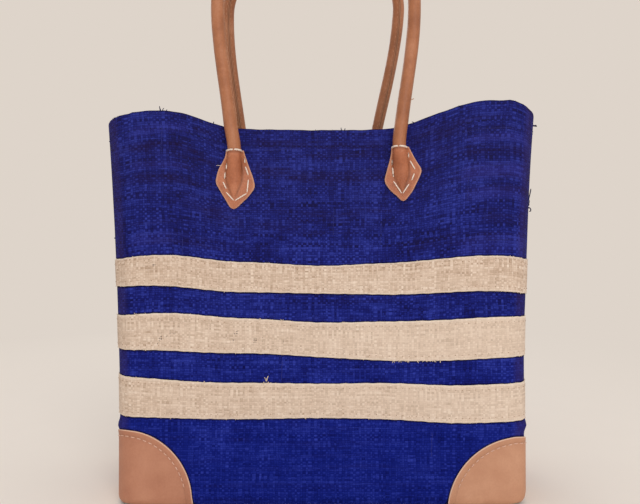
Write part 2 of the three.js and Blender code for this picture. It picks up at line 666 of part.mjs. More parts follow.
buildHandle({
  name: "front",
  middle: FRONT,
  centre: FRONT_HANDLE_CENTRE,
  spacing: FRONT_HANDLE_SPACING,
  widestAt: FRONT_LOOP_WIDEST_AT,
  slant: 0,
});
buildHandle({
  name: "back",
  middle: BACK,
  centre: -BACK_HANDLE_CENTRE,
  spacing: BACK_HANDLE_SPACING,
  widestAt: BACK_LOOP_WIDEST_AT,
  slant: -BACK_LOOP_SLANT,
});

export default bag;
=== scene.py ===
# A woven raffia beach tote: blue walls, natural bands, tan leather corners and rolled leather handles.
# Lengths are in millimetres until a mesh is made. The front faces -Y, and z is up from the floor.

import math
from functools import reduce
from types import SimpleNamespace

import bpy
import numpy as np
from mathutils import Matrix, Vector


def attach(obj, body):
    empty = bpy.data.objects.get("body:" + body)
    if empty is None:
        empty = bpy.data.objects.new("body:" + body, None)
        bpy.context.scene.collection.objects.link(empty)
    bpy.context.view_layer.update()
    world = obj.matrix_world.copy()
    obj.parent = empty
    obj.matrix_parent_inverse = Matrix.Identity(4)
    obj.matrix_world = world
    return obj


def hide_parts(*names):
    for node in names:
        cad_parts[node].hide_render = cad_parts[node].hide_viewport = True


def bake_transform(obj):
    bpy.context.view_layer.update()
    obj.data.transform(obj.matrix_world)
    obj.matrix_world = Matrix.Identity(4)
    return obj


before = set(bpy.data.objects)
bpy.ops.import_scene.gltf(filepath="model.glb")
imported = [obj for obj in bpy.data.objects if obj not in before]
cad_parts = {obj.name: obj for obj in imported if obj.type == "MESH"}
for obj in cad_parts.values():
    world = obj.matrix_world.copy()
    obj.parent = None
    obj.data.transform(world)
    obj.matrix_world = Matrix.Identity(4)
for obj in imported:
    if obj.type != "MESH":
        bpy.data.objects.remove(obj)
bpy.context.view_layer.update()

MM = 0.001

# Bag body
BASE_WIDTH = 413
MOUTH_FLARE = 17
BAG_DEPTH = 160
RIM_HEIGHT = 382
PANEL_SINK = 22
GUSSET_SINK = 10
GUSSET_DIP = 20
BASE_CORNER_RADIUS = 20
RIM_CORNER_RADIUS = 34
BOTTOM_EDGE_RADIUS = 8
FLARE_GROWTH = 2
SINK_GROWTH = 2.4
RISE_GROWTH = 2
GUSSET_DIP_GROWTH = 1.2
RISES = ((16, 66, 140), (26, 54, 164))  # left and right: the rim's rise, from and to which way off the side
DENTS = ((3, 29, 16), (1.3, 11, 8))  # where the rim hangs near its ends: depth, way off the side, reach
CORNER_BULGE = (78.5, 5, 2.6)  # the cloth swells between leather and band: its height, reach and depth
RIGHT_LEAN = 2.2  # how far the bag's right side stands out near its bottom

# Cloth and leather
RAFFIA_THICKNESS = 1.5
SEAM_GAP = 0.4
SEAM_SHOWN = 0.06  # the two cloths of a seam are drawn together until they touch
HEM_WIDTH = 20
LINING_THICKNESS = 0.8
LINING_GAP = 0.5
LINING_BELOW_RIM = 6
BAND_THICKNESS = 0.8
BAND_GAP = 0.2
CORNER_LEATHER_THICKNESS = 1.4
CORNER_LEATHER_GAP = 0.2
TAB_THICKNESS = 2.2
BACKING_THICKNESS = 1.2
LEATHER_GAP = 0.4
BACKING_GAP = 0.6

# Natural bands: each lower edge, each width, and how far the lower and the upper edge stray from that on the
# front, as heights spread evenly from its left seam to its right seam
BANDS = {
    "lower": (88, 35, (2, 0, 0, 1, -0.5, -5, -3), (6.5, 1.5, 1, 0, 0.5, -3.5, -1.5)),
    "middle": (149, 36, (6.5, 4.5, 4.5, 0.5, -3, -5, -2), (4, 5, 3, -1, 0, -2, 0)),
    "upper": (212, 30, (5.5, 3.5, 2.5, 1, 0, -3, -4.5), (2.5, 3.5, 2.5, -1, 1.5, -0.5, -1.5)),
}

# Leather corners, nearly half discs, folded round the bag's corners: radius, and how far the arc's centre
# lies from the seam on the panel, and up. Their tops fall off a little towards the gusset.
CORNER_LEATHERS = {"left": (71.6, 1.5, 5.6), "right": (75.1, 1, -5.7)}
CORNER_LEATHER_FALL = (3.4, -17, 12)
CORNER_LEATHER_TRIM = 5.3
CORNER_LEATHER_END = 2
CORNER_GROOVE = 0.911  # where the line beside the stitches runs, as a share of the way to the edge

# Handles, each seen from its own side: middle, distance between the tabs, how high the loop is widest,
# slant, and how far it drifts to the right over its first stretch
HANDLES = {"front": (-5.35, 168.3, 160, 0, 0.25), "back": (17.6, 159, 184, -0.047, 0)}
NECK_BELOW_RIM = 21
NECK_LENGTH = 27
NECK_OFF_RIM = 1.2
HANDLE_LEAN = math.radians(9)
ROLL_RADIUS = 7
WORN_RADIUS = 6.75  # the roll as it is after use, a little slimmer than as made
CORE_RADIUS = 4.4
CORE_STARTS = 38  # from the roll's end inside the tab
LOOP_WIDTH = 206
LOOP_HEIGHT = 265
LEG_SPLAY = 0.08
TAB_LENGTH = 62
TAB_OPENS_OVER = 16
BACKING_MARGIN = 4
TAB_TIP = 3.4
LEAF_SOFTNESS = 3.5  # how far the corners of a tab's outline are rounded off

RIGHT_ANGLE = math.pi / 2
NECK_Z = RIM_HEIGHT - NECK_BELOW_RIM
FRONT, RIGHT, BACK, LEFT, WHOLE_TURN = 0, 3, 6, 9, 12
HALF_FLAT, HALF_FACE = 1, 1.5
FACES = {"front": FRONT, "right": RIGHT, "back": BACK, "left": LEFT}
LINING_OUTSIDE = -RAFFIA_THICKNESS - LINING_GAP
LINING_INSIDE = LINING_OUTSIDE - LINING_THICKNESS
HEM_OUTSIDE = LINING_INSIDE - LINING_GAP
HEM_INSIDE = HEM_OUTSIDE - RAFFIA_THICKNESS
BAND_OUTSIDE = BAND_GAP + BAND_THICKNESS
CORNER_OUTSIDE = CORNER_LEATHER_GAP + CORNER_LEATHER_THICKNESS
BAND_EDGES = {  # by band and by way, down or up: the height of the edge, and its strays
    (level, way): (bottom + width * (way > 0), strays)
    for level, (bottom, width, *both) in BANDS.items()
    for way, strays in zip((-1, 1), both)
}

# Weave: from one upright strand to the next, and from one level strand to the next
BLUE_STRANDS = (2.75, 2.2)
NATURAL_STRANDS = (2.3, 1.9)
LINING_STRANDS = (0.55, 0.55)
WEAVE_FLOOR = -0.42  # the height of the pits between the strands, where a strand's crest is 0.5
EDGE_SHADE_WIDTH = 1.7  # the width of the painted shade along a sewn-on edge
CORNER_SHADE_WIDTH = 13  # of the painted shade and dull sheen along each corner of the bag
# How far apart the pieces lie on the map of the weave, so that no two look the same
WALLS_APART, BAND_FACES_APART, BANDS_APART, BASE_APART = 1000, 2000, 300, 6000
LINING_MAP_TOP = 800

# Steps of the meshes, and the turns between which loose fibres are strewn
ROW_STEP = 3
COLUMN_STEP = 3.2
BAND_STEP = 2.4
STREWN = (-1.5, 10.4)
rng = np.random.default_rng(7)


# Small mathematics on arrays


def lerp(a, b, t):
    return a + (b - a) * t


def smoothstep(x, low, high):
    t = np.clip((x - low) / (high - low), 0, 1)
    return t * t * (3 - 2 * t)


def bell(x, middle, reach, power=2):
    return np.exp(-(((x - middle) / reach) ** power))


def waves(x, *terms):
    """Waves laid over each other, each given as its height, how often it comes and where it starts."""
    return sum(height * np.sin(often * x + start) for height, often, start in terms)


def unit(v):
    return v / np.linalg.norm(v, axis=-1, keepdims=True)


def run(points):
    """How far along a line of points each of them lies."""
    return np.concatenate([[0], np.cumsum(np.linalg.norm(np.diff(points, axis=0), axis=1))])


def along(where, lengths, values):
    """Values that are known at some lengths along a line, at other places on it."""
    return np.stack([np.interp(where, lengths, column) for column in values.T], -1)


def smooth_curve(values, t):
    """A smooth line through evenly spaced values, at shares t of its length."""
    values = np.asarray(values, float)
    slopes = np.gradient(values)
    place = np.clip(t, 0, 1) * (len(values) - 1)
    i = np.minimum(place.astype(int), len(values) - 2)
    f = place - i
    a, b, p, q = values[i], values[i + 1], slopes[i], slopes[i + 1]
    return a + f * (p + f * (3 * (b - a) - 2 * p - q + f * (2 * (a - b) + p + q)))


def bezier(points, t):
    a, b, c, d = (np.asarray(p, float) for p in points)
    t = t[:, None]
    return a * (1 - t) ** 3 + 3 * b * t * (1 - t) ** 2 + 3 * c * t**2 * (1 - t) + d * t**3


def plane(across, up):
    """The places of a flat sheet's rows and columns."""
    return np.stack(np.broadcast_arrays(across[None, :], up[:, None]), -1)


# The surface of the walls. A place is a turn round the bag and a height h up the cloth.


def quarter_of(turn):
    wrapped = np.where(turn > BACK, turn - WHOLE_TURN, turn)
    at_back = np.abs(wrapped) > RIGHT
    quarter = np.where(at_back, BACK - np.abs(wrapped), np.abs(wrapped))
    return quarter, np.where(wrapped < 0, -1, 1), np.where(at_back, 1, -1)


def plan_at(h):
    """The outline at a height: its corners' radius, half its flats' widths, and half a corner's length."""
    share = np.maximum(0, h / RIM_HEIGHT)
    low = np.clip(h / BOTTOM_EDGE_RADIUS, 0, 1) * RIGHT_ANGLE
    inset = BOTTOM_EDGE_RADIUS * (1 - np.sin(low))
    radius = lerp(BASE_CORNER_RADIUS, RIM_CORNER_RADIUS, share) - inset
    flat_x = BASE_WIDTH / 2 + MOUTH_FLARE * share**FLARE_GROWTH - inset - radius
    flat_y = BAG_DEPTH / 2 - inset - radius
    return radius, flat_x, flat_y, radius * math.pi / 4


def hump(across):
    return np.cos(RIGHT_ANGLE * np.minimum(1, np.abs(across))) ** 2


def rim_lift(x, sign_x, around):
    from_side = BASE_WIDTH / 2 + MOUTH_FLARE - x
    left, right = (
        rise * (1 - smoothstep(from_side, *ends)) - depth * bell(from_side, *dent)
        for (rise, *ends), (depth, *dent) in zip(RISES, DENTS)
    )
    return np.where(sign_x < 0, left, right) - GUSSET_DIP * np.sin(RIGHT_ANGLE * around) ** GUSSET_DIP_GROWTH


def surface(turn, h):
    quarter, sign_x, sign_y = quarter_of(turn)
    radius, flat_x, flat_y, bend = plan_at(h)
    share = np.maximum(0, h / RIM_HEIGHT)
    angle = np.clip(quarter - 1, 0, 1) * RIGHT_ANGLE
    past = np.clip(quarter - 2, 0, 1)
    on_panel = quarter <= HALF_FACE
    along_panel = flat_x * np.minimum(quarter, 1) + radius * angle
    along_gusset = flat_y * (1 - past) + radius * (RIGHT_ANGLE - angle)
    panel_sink = np.where(on_panel, PANEL_SINK * hump(along_panel / (flat_x + bend)), 0)
    gusset_sink = np.where(on_panel, 0, GUSSET_SINK * hump(along_gusset / (flat_y + bend)))
    sink = share**SINK_GROWTH
    x = flat_x * np.minimum(quarter, 1) + (radius - gusset_sink * sink) * np.sin(angle)
    y = flat_y * (1 - past) + (radius - panel_sink * sink) * np.cos(angle)
    around = (radius * angle + flat_y * past) / (radius * RIGHT_ANGLE + flat_y)
    low = np.clip(h / BOTTOM_EDGE_RADIUS, 0, 1) * RIGHT_ANGLE
    z = np.where(h < BOTTOM_EDGE_RADIUS, BOTTOM_EDGE_RADIUS * (1 - np.cos(low)), h)
    z = z + rim_lift(x, sign_x, around) * share**RISE_GROWTH
    return np.stack([sign_x * x, sign_y * y, z], -1)


def slump(turn, h):
    """Soft dents of the cloth, as a distance out of the wall. They die away towards the base and the rim."""
    round_bag = 2 * math.pi * turn / WHOLE_TURN
    terms = ((0.9, 9, h / 47 + 0.4), (0.7, 16, 2.1 - h / 61), (0.5, 5, h / 33 + 4), (0.3, 31, h / 90))
    soft = 0.5 * waves(round_bag, *terms) * smoothstep(h, 10, 220)
    soft = soft * (1 - 0.75 * smoothstep(h, 300, RIM_HEIGHT))
    corner = 1 - smoothstep(np.abs(quarter_of(turn)[0] - HALF_FACE), 0.15, 0.7)
    height, reach, depth = CORNER_BULGE
    off_side = surface(turn, h)[..., 0] - BASE_WIDTH / 2
    lean = smoothstep(off_side, -16, -2) * smoothstep(h, 0, 12) * (1 - smoothstep(h, 90, 190))
    return soft + depth * corner * bell(h, height, reach) + RIGHT_LEAN * lean


def wall_point(turn, h, out, dented=True):
    """A point outside the walls' surface by a distance, or inside it where the distance is negative."""
    turn, h, out = np.broadcast_arrays(*(np.asarray(v, float) for v in (turn, h, out)))
    step = 0.01
    across = surface(turn + step, h) - surface(turn - step, h)
    up = surface(turn, h + step) - surface(turn, h - step)
    away = out + (slump(turn, h) if dented else 0)
    return surface(turn, h) + unit(np.cross(across, up)) * away[..., None]


def panel_turn(middle, x, z):
    """The turn and h of a place on the front or back, x right of its middle as one faces it and z high."""
    h = np.array(z, float)
    for _ in range(5):
        turn = middle + x / plan_at(h)[1]
        h = h + z - surface(turn, h)[..., 2]
    return middle + x / plan_at(h)[1], h


def panel_point(middle, x, z, out, dented=True):
    x, z, out = np.broadcast_arrays(*(np.asarray(v, float) for v in (x, z, out)))
    turn, h = panel_turn(middle, x, z)
    return wall_point(turn, h, out, dented)


def cloth_run(turns, flat, bend):
    """How far along the cloth a turn off a face's middle is."""
    away = np.minimum(np.abs(turns), HALF_FACE)
    past = (away - HALF_FLAT) / (HALF_FACE - HALF_FLAT) * bend
    return np.sign(turns) * np.where(away <= HALF_FLAT, away * flat, flat + past)


def face_columns(middle, step=COLUMN_STEP):
    """The turns of a face's columns from seam to seam, and the length of cloth from the first to each."""
    radius, flat_x, flat_y, bend = plan_at(RIM_HEIGHT / 2)
    flat = flat_x if middle in (FRONT, BACK) else flat_y
    seam = HALF_FACE - SEAM_SHOWN / 2 / (radius * RIGHT_ANGLE)
    in_bend = np.linspace(HALF_FLAT, seam, 8)[1:]
    in_flat = np.linspace(-HALF_FLAT, HALF_FLAT, int(2 * flat / step) + 1)
    turns = np.concatenate([-in_bend[::-1], in_flat, in_bend])
    length = cloth_run(turns, flat, bend)
    return middle + turns, length - length[0]


def round_columns(step):
    return np.concatenate([face_columns(middle, step)[0] for middle in FACES.values()])


def seam_distance(middle, turn, h):
    """How far along the cloth a place on a face lies from the face's nearer seam."""
    _, flat_x, flat_y, bend = plan_at(h)
    flat = flat_x if middle in (FRONT, BACK) else flat_y
    return flat + bend - np.abs(cloth_run(turn - middle, flat, bend))


def turn_from_seam(seam, panel_first, distance, h):
    """The turn of a place at a distance along the cloth from a seam."""
    _, flat_x, flat_y, bend = plan_at(h)
    away = np.abs(distance)
    half = HALF_FACE - HALF_FLAT
    past = half + (away - bend) / np.where((distance < 0) == panel_first, flat_x, flat_y)
    return seam + np.sign(distance) * np.where(away <= bend, away / bend * half, past)


# Meshes


def grid(shape, wrap_rows=False, wrap_columns=False):
    """Quads over rows and columns of points, and each corner's row and column, counted on past a wrap."""
    rows, columns = shape
    last_row, last_column = rows - (not wrap_rows), columns - (not wrap_columns)
    r, c = np.meshgrid(np.arange(last_row), np.arange(last_column), indexing="ij")
    corner_rows = np.stack([r, r, r + 1, r + 1], -1).reshape(-1, 4)
    corner_columns = np.stack([c, c + 1, c + 1, c], -1).reshape(-1, 4)
    return corner_rows % rows * columns + corner_columns % columns, corner_rows, corner_columns


def add_map(mesh, name, values):
    mesh.uv_layers.new(name=name).data.foreach_set("uv", np.asarray(values, np.float32).reshape(-1))


def add_field(mesh, name, values):
    """A number for each point of a mesh, for its material to read."""
    values = np.asarray(values, np.float32)
    kind, key = ("FLOAT_VECTOR", "vector") if values.ndim == 2 else ("FLOAT", "value")
    mesh.attributes.new(name, kind, "POINT").data.foreach_set(key, values.reshape(-1))


def plain_mesh(name, points, faces):
    points = points.reshape(-1, 3)
    mesh = bpy.data.meshes.new(name)
    mesh.from_pydata((points * MM).tolist(), [], faces)
    add_field(mesh, "place", points)
    return mesh


def closed_grid(name, points, wrap_rows=False, wrap_columns=True):
    """A mesh over rows and columns of points, its open ends capped, and each corner's row and column."""
    rows, columns = points.shape[:2]
    faces, *corners = grid((rows, columns), wrap_rows, wrap_columns)
    first = np.arange(columns) if wrap_columns else np.arange(rows) * columns
    last = first + ((rows - 1) * columns if wrap_columns else columns - 1)
    return plain_mesh(name, points, [*faces.tolist(), first[::-1].tolist(), last.tolist()]), corners


def placed(name, data):
    """An object in the scene that shows a mesh, a lamp or a camera."""
    thing = bpy.data.objects.new(name, data)
    bpy.context.scene.collection.objects.link(thing)
    return thing


def finish_piece(name, mesh, material, body, nodes=(), sharp=50):
    """Turns the faces of a closed mesh outward and puts it in the scene as a piece that rides on a body."""
    mesh.calc_loop_triangles()
    corners = np.zeros(len(mesh.loop_triangles) * 3, np.int32)
    mesh.loop_triangles.foreach_get("vertices", corners)
    points = np.zeros(len(mesh.vertices) * 3)
    mesh.vertices.foreach_get("co", points)
    a, b, c = points.reshape(-1, 3)[corners.reshape(-1, 3)].transpose(1, 0, 2)
    if (a * np.cross(b, c)).sum() < 0:
        mesh.flip_normals()
    mesh.validate()
    mesh.shade_smooth()
    mesh.set_sharp_from_angle(angle=math.radians(sharp))
    mesh.materials.append(material)
    piece = placed(name, mesh)
    if nodes:
        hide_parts(*nodes)
    if body:
        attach(piece, body)
    return piece


def cloth_piece(name, points, weave, fields, material, nodes):
    """A closed shell of woven cloth, whose rows close into a ring. weave gives each point's place on the flat
    cloth, with a last row where the ring closes."""
    mesh, (corner_rows, corner_columns) = closed_grid(name, points, True, False)
    shares = (weave[0, :, 0] - weave[0, 0, 0]) / np.ptp(weave[0, :, 0])
    layout = plane(shares, np.linspace(0, 1, len(weave))) * 0.98 + 0.01
    for title, places in (("Weave", weave), ("OFBake", layout)):
        on_faces = places[corner_rows, corner_columns].reshape(-1, 2)
        add_map(mesh, title, np.concatenate([on_faces, np.zeros((2 * len(points), 2))]))
    for field, values in fields.items():
        size = values.shape[2:]
        add_field(mesh, field, np.broadcast_to(values, points.shape[:2] + size).reshape(-1, *size))
    finish_piece(name, mesh, material, "bag", nodes)


def hide_piece(name, points, edge, material, body, nodes, wrap_columns=True):
    """A closed piece of leather. edge tells how raw each point is, or how much painted shade it gets in a
    crease.
    """
    mesh, _ = closed_grid(name, points, False, wrap_columns)
    add_field(mesh, "edge", np.broadcast_to(edge, points.shape[:2]).reshape(-1))
    return finish_piece(name, mesh, material, body, nodes)


def tubes(name, paths, radii, thread_name, body, sides=6, squash=1.0):
    """One mesh of many short threads or fibres. Each path is a list of points, and its ends taper."""
    angle = np.arange(sides) * 2 * math.pi / sides
    all_points, all_faces, start = [], [], 0
    for path, radius in zip(paths, np.broadcast_to(radii, len(paths))):
        path = np.asarray(path, float)
        way = unit(np.gradient(path, axis=0))
        side = unit(np.cross(way, [0, 0, 1] if abs(way[0, 2]) < 0.8 else [1, 0, 0]))
        taper = np.ones(len(path))
        taper[[0, -1]] = 0.45
        ring = np.cos(angle)[:, None] * side[:, None]
        ring = ring + squash * np.sin(angle)[:, None] * np.cross(way, side)[:, None]
        points = path[:, None] + ring * (radius * taper)[:, None, None]
        faces = grid((len(path), sides), False, True)[0] + start
        first = start + np.arange(sides)
        start += len(path) * sides
        all_points.append(points.reshape(-1, 3))
        all_faces += [*faces.tolist(), first[::-1].tolist(), np.arange(start - sides, start).tolist()]
    mesh = plain_mesh(name, np.concatenate(all_points), all_faces)
    return finish_piece(name, mesh, THREADS[thread_name], body, sharp=80)


# Materials. A colour is red, green and blue as it looks, from 0 to 255.


def rgb(red, green, blue, strength=1.0):
    values = np.array([red, green, blue]) / 255
    linear = np.where(values <= 0.04045, values / 12.92, ((values + 0.055) / 1.055) ** 2.4)
    return (*(linear * strength), 1.0)


class Graph:
    """A material, or a world, whose nodes are wired by calls."""

    def __init__(self, name, owner=None):
        self.material = owner or bpy.data.materials.new(name)
        self.material.use_nodes = True
        self.nodes = self.material.node_tree.nodes
        self.links = self.material.node_tree.links
        self.nodes.clear()

    def node(self, kind, inputs, output=0, **settings):
        node = self.nodes.new(kind)
        for key, value in settings.items():
            setattr(node, key, value)
        for key, value in inputs.items():
            if isinstance(value, bpy.types.NodeSocket):
                self.links.new(value, node.inputs[key])
            else:
                node.inputs[key].default_value = value
        return node.outputs[output] if node.outputs else node

    def math(self, operation, *values):
        return self.node("ShaderNodeMath", dict(enumerate(values)), operation=operation)

    def total(self, *values):
        return reduce(lambda a, b: self.math("ADD", a, b), values)

    def times(self, *values):
        return reduce(lambda a, b: self.math("MULTIPLY", a, b), values)

    def most(self, *values):
        return reduce(lambda a, b: self.math("MAXIMUM", a, b), values)

    def fit(self, value, low, high, to_low=0.0, to_high=1.0):
        inputs = {"Value": value, "From Min": low, "From Max": high, "To Min": to_low, "To Max": to_high}
        return self.node("ShaderNodeMapRange", inputs)

    def joined(self, x, y, z=0.0):
        return self.node("ShaderNodeCombineXYZ", {"X": x, "Y": y, "Z": z})

    def parts(self, place):
        return [self.node("ShaderNodeSeparateXYZ", {"Vector": place}, output=i) for i in range(3)]

    def noise(self, place, scale=1.0, detail=2.0, roughness=0.5):
        inputs = {"Vector": place, "Scale": scale, "Detail": detail, "Roughness": roughness}
        return self.node("ShaderNodeTexNoise", inputs)

    def streaks(self, x, y, across, up, seed=0.0, detail=2.0):
        """Noise that is drawn out one way."""
        return self.noise(self.joined(self.times(x, across), self.times(y, up), seed), 1.0, detail)

    def speckle(self, x, y):
        """A number of its own for each crossing of two strands."""
        return self.node("ShaderNodeTexWhiteNoise", {"Vector": self.joined(x, y)}, noise_dimensions="3D")

    def layers(self, colour, *coats):
        """A colour with others laid over it, each as its share and itself."""
        for share, coat in coats:
            inputs = {0: share, 6: colour, 7: rgb(*coat)}
            colour = self.node("ShaderNodeMix", inputs, output=2, data_type="RGBA")
        return colour

    def ramp(self, value, *stops):
        output = self.node("ShaderNodeValToRGB", {"Fac": value})
        elements = output.node.color_ramp.elements
        while len(elements) < len(stops):
            elements.new(0.5)
        for element, (place, colour) in zip(elements, stops):
            element.position = place
            element.color = rgb(*colour)
        return output

    def field(self, name):
        return self.node("ShaderNodeAttribute", {}, output=2, attribute_name=name)

    def vector(self, name):
        return self.node("ShaderNodeAttribute", {}, output=1, attribute_name=name)

    def sway(self, value, weight):
        """A value that lies about 0.5, turned into a small change to either side."""
        return self.times(self.math("SUBTRACT", value, 0.5), weight)

    def plain_rays(self):
        """1 for the rays of the camera, of reflections and through glass, which meet the plain backdrop."""
        kinds = ("Is Camera Ray", "Is Glossy Ray", "Is Transmission Ray")
        rays = [self.node("ShaderNodeLightPath", {}, output=kind) for kind in kinds]
        return self.math("MINIMUM", self.total(*rays), 1.0)

    def surface(self, colour, roughness, height, relief, shine, sheen=0.0):
        """The surface itself. relief is the height's full reach, in metres."""
        normal = self.node("ShaderNodeBump", {"Height": height, "Distance": relief, "Strength": 1.0})
        inputs = {"Base Color": colour, "Roughness": roughness, "Normal": normal, "Specular IOR Level": shine}
        if sheen:
            inputs["Sheen Weight"] = sheen
        return self.node("ShaderNodeBsdfPrincipled", inputs)

    def close(self, *surface, **settings):
        self.node("ShaderNodeOutputMaterial", {"Surface": self.surface(*surface, **settings)})
        return self.material


def weave_nodes(g, strands):
    """A plain weave on the cloth's map: its height, which strand is on top, and each strand's own numbers."""
    flat = g.node("ShaderNodeUVMap", {}, uv_map="Weave")
    wander = g.sway(g.noise(flat, 0.03), 1.6)
    x, y, _ = g.parts(flat)
    places = []
    for value, seed, strand in ((x, 0.0, strands[0]), (y, 57.0, strands[1])):
        count = g.times(value, 1 / strand)
        inputs = {"W": g.math("ADD", count, seed), "Scale": 0.55, "Detail": 0.0}
        uneven = g.node("ShaderNodeTexNoise", inputs, noise_dimensions="1D")
        places.append(g.total(count, g.sway(uneven, 1.1), wander))
    s, t = places
    i, j = (g.math("FLOOR", v) for v in places)
    fs, ft = (g.math("SUBTRACT", g.math("FRACT", v), 0.5) for v in places)
    odd = g.math("FLOORED_MODULO", g.math("ADD", i, j), 2.0)
    sign = g.math("MULTIPLY_ADD", odd, -2.0, 1.0)
    heights = []
    for own, other, way in ((fs, ft, 0.5), (ft, fs, -0.5)):
        edge = g.math("POWER", g.times(g.math("ABSOLUTE", own), 2.0), 3.0)
        lift = g.math("COSINE", g.times(other, math.pi))
        heights.append(g.math("MULTIPLY_ADD", edge, -0.4, g.times(sign, lift, way)))
    over = g.math("GREATER_THAN", *heights)
    strand_fibres = {0: over, 2: g.streaks(s, t, 0.45, 7.0, 9.0), 3: g.streaks(s, t, 7.0, 0.45)}
    gaps = [g.math("POWER", g.math("SUBTRACT", 0.5, g.math("ABSOLUTE", v)), 2.0) for v in (fs, ft)]
    return SimpleNamespace(
        s=s, t=t, i=i, j=j, y=y, flat=flat, over=over, height=g.most(*heights),
        fibre=g.node("ShaderNodeMix", strand_fibres), corner=g.math("SQRT", g.total(*gaps)),
    )


def woven_tone(g, w, own=1.0, fleck=1.0, cloud=1.0):
    """How light the cloth is, about 0.5: by strand, slowly along it, at each crossing and in large clouds,
    with painted highlight on strand crests and painted shade low on their flanks.
    """
    tones = []
    for seed, strand, place in ((0.0, w.i, w.t), (5.0, w.j, w.s)):
        slow = g.streaks(strand, place, 13.7, 0.12, seed, 1.0)
        inputs = {"W": g.math("ADD", strand, seed + 0.5)}
        chance = g.node("ShaderNodeTexWhiteNoise", inputs, noise_dimensions="1D")
        tones.append(g.total(g.sway(slow, 0.6 * own), g.sway(chance, 0.14 * own)))
    warp, weft = tones
    # Painted highlight on the strands' crests, painted shade low on their flanks
    crest = g.fit(w.height, 0.1, 0.5, -0.08, 0.13)
    strand_tone = g.node("ShaderNodeMix", {0: w.over, 2: weft, 3: g.total(warp, crest)})
    flecks = g.sway(g.speckle(w.i, w.j), 0.1 * fleck)
    clouds = g.sway(g.noise(w.flat, 0.022, 3.0), 0.4 * cloud)
    return g.total(0.5, strand_tone, flecks, clouds, g.sway(w.fibre, 0.5))


def painted_edge_shade(g):
    """Where the blue cloth meets the edge of a band or of a leather corner, a narrow line of painted shade.
    """
    lines = [g.fit(g.field("corner_gap"), 0.1, EDGE_SHADE_WIDTH, 1.0, 0.0)]
    for low, high in zip(g.parts(g.vector("over_low")), g.parts(g.vector("over_high"))):
        lines.append(g.times(g.fit(low, -1.3 * EDGE_SHADE_WIDTH, -0.3), g.fit(high, 0.1, EDGE_SHADE_WIDTH, 1.0, 0.0)))
    return g.most(*lines)


def blue_raffia():
    g = Graph("blue_raffia")
    w = weave_nodes(g, BLUE_STRANDS)
    dusk = g.field("dusk")
    bright = g.most(g.times(dusk, -1.0), 0.0)
    contrast = g.fit(w.y, 60.0, 250.0, 0.75, 1.5)
    tone = g.total(0.5, g.sway(woven_tone(g, w), contrast), g.times(bright, 0.17))
    broken = g.fit(g.streaks(w.s, w.j, 0.12, 0.9, 3.0), 0.34, 0.62, 0.15, 1.0)
    weft_over = g.math("MULTIPLY_ADD", w.over, -0.25, 1.0)
    loose = g.fit(g.streaks(w.s, w.t, 0.02, 0.25, 3.0), 0.52, 0.7)
    loose = g.times(loose, g.fit(w.y, 120.0, 330.0, 0.25, 0.75))
    base = g.layers(
        g.ramp(tone, (0.2, (7, 10, 68)), (0.5, (18, 30, 118)), (0.82, (50, 64, 166))),
        (g.fit(w.y, 70.0, 330.0, 0.0, 0.38), (44, 38, 66)),
        (g.times(bright, 0.25), (58, 50, 128)),
        (g.times(g.most(dusk, loose), broken, weft_over, 0.85), (32, 22, 56)),
        # Painted shade in the pits between the strands
        (g.times(g.fit(w.height, WEAVE_FLOOR, -0.1, 1.0, 0.0), 0.5), (8, 6, 34)),
        # Painted shade and dull sheen along each corner of the bag, where the cloth turns edge-on
        (g.times(g.field("fold"), 0.45), (52, 40, 84)),
        # Painted shade: a dark line beside the bands and leather corners, and along the rolled rim
        (g.times(g.most(painted_edge_shade(g), g.field("edge")), 0.88), (10, 6, 24)),
    )
    height = g.total(w.height, g.times(w.fibre, 0.25))
    return g.close(base, g.fit(w.fibre, 0.3, 0.7, 0.55, 0.7), height, 0.0004, shine=0.02)


def natural_raffia():
    g = Graph("natural_raffia")
    w = weave_nodes(g, NATURAL_STRANDS)
    tone = woven_tone(g, w, own=1.3, fleck=2.0, cloud=0.6)
    x, _, z = g.parts(g.vector("place"))
    loose = g.field("loose")
    meeting = g.speckle(g.math("ROUND", w.s), g.math("ROUND", w.t))
    reach = g.math("MULTIPLY_ADD", loose, -0.3, w.corner)
    hole = g.times(g.math("GREATER_THAN", loose, meeting), g.fit(reach, -0.05, 0.16, 1.0, 0.0))
    base = g.layers(
        g.ramp(tone, (0.15, (166, 139, 116)), (0.5, (207, 182, 161)), (0.85, (230, 211, 193))),
        # Painted shade in the pits between the strands
        (g.times(g.fit(w.height, WEAVE_FLOOR, -0.12, 1.0, 0.0), 0.3), (150, 116, 90)),
        # Painted light: the bands grow lighter towards the right and below the upper band
        (g.times(g.fit(x, -160.0, 190.0, 0.12, 0.36), g.fit(z, 240.0, 190.0)), (232, 214, 196)),
        (g.times(hole, 0.9), (26, 18, 34)),
        (g.times(g.field("edge"), 0.5), (236, 220, 202)),
    )
    height = g.total(w.height, g.times(w.fibre, 0.25), g.times(hole, -0.8))
    return g.close(base, g.fit(w.fibre, 0.3, 0.7, 0.6, 0.78), height, 0.0003, shine=0.15)


def lining_cloth():
    g = Graph("lining_cloth")
    w = weave_nodes(g, LINING_STRANDS)
    # Painted shade in the pits between the strands
    pit_shade = g.times(g.fit(w.height, WEAVE_FLOOR, -0.05, 1.0, 0.0), 0.5)
    base = g.layers(rgb(36, 44, 78), (g.noise(w.flat, 0.03, 3.0), (54, 62, 98)), (pit_shade, (22, 26, 50)))
    return g.close(base, 0.85, w.height, 0.0001, shine=0.2, sheen=0.2)


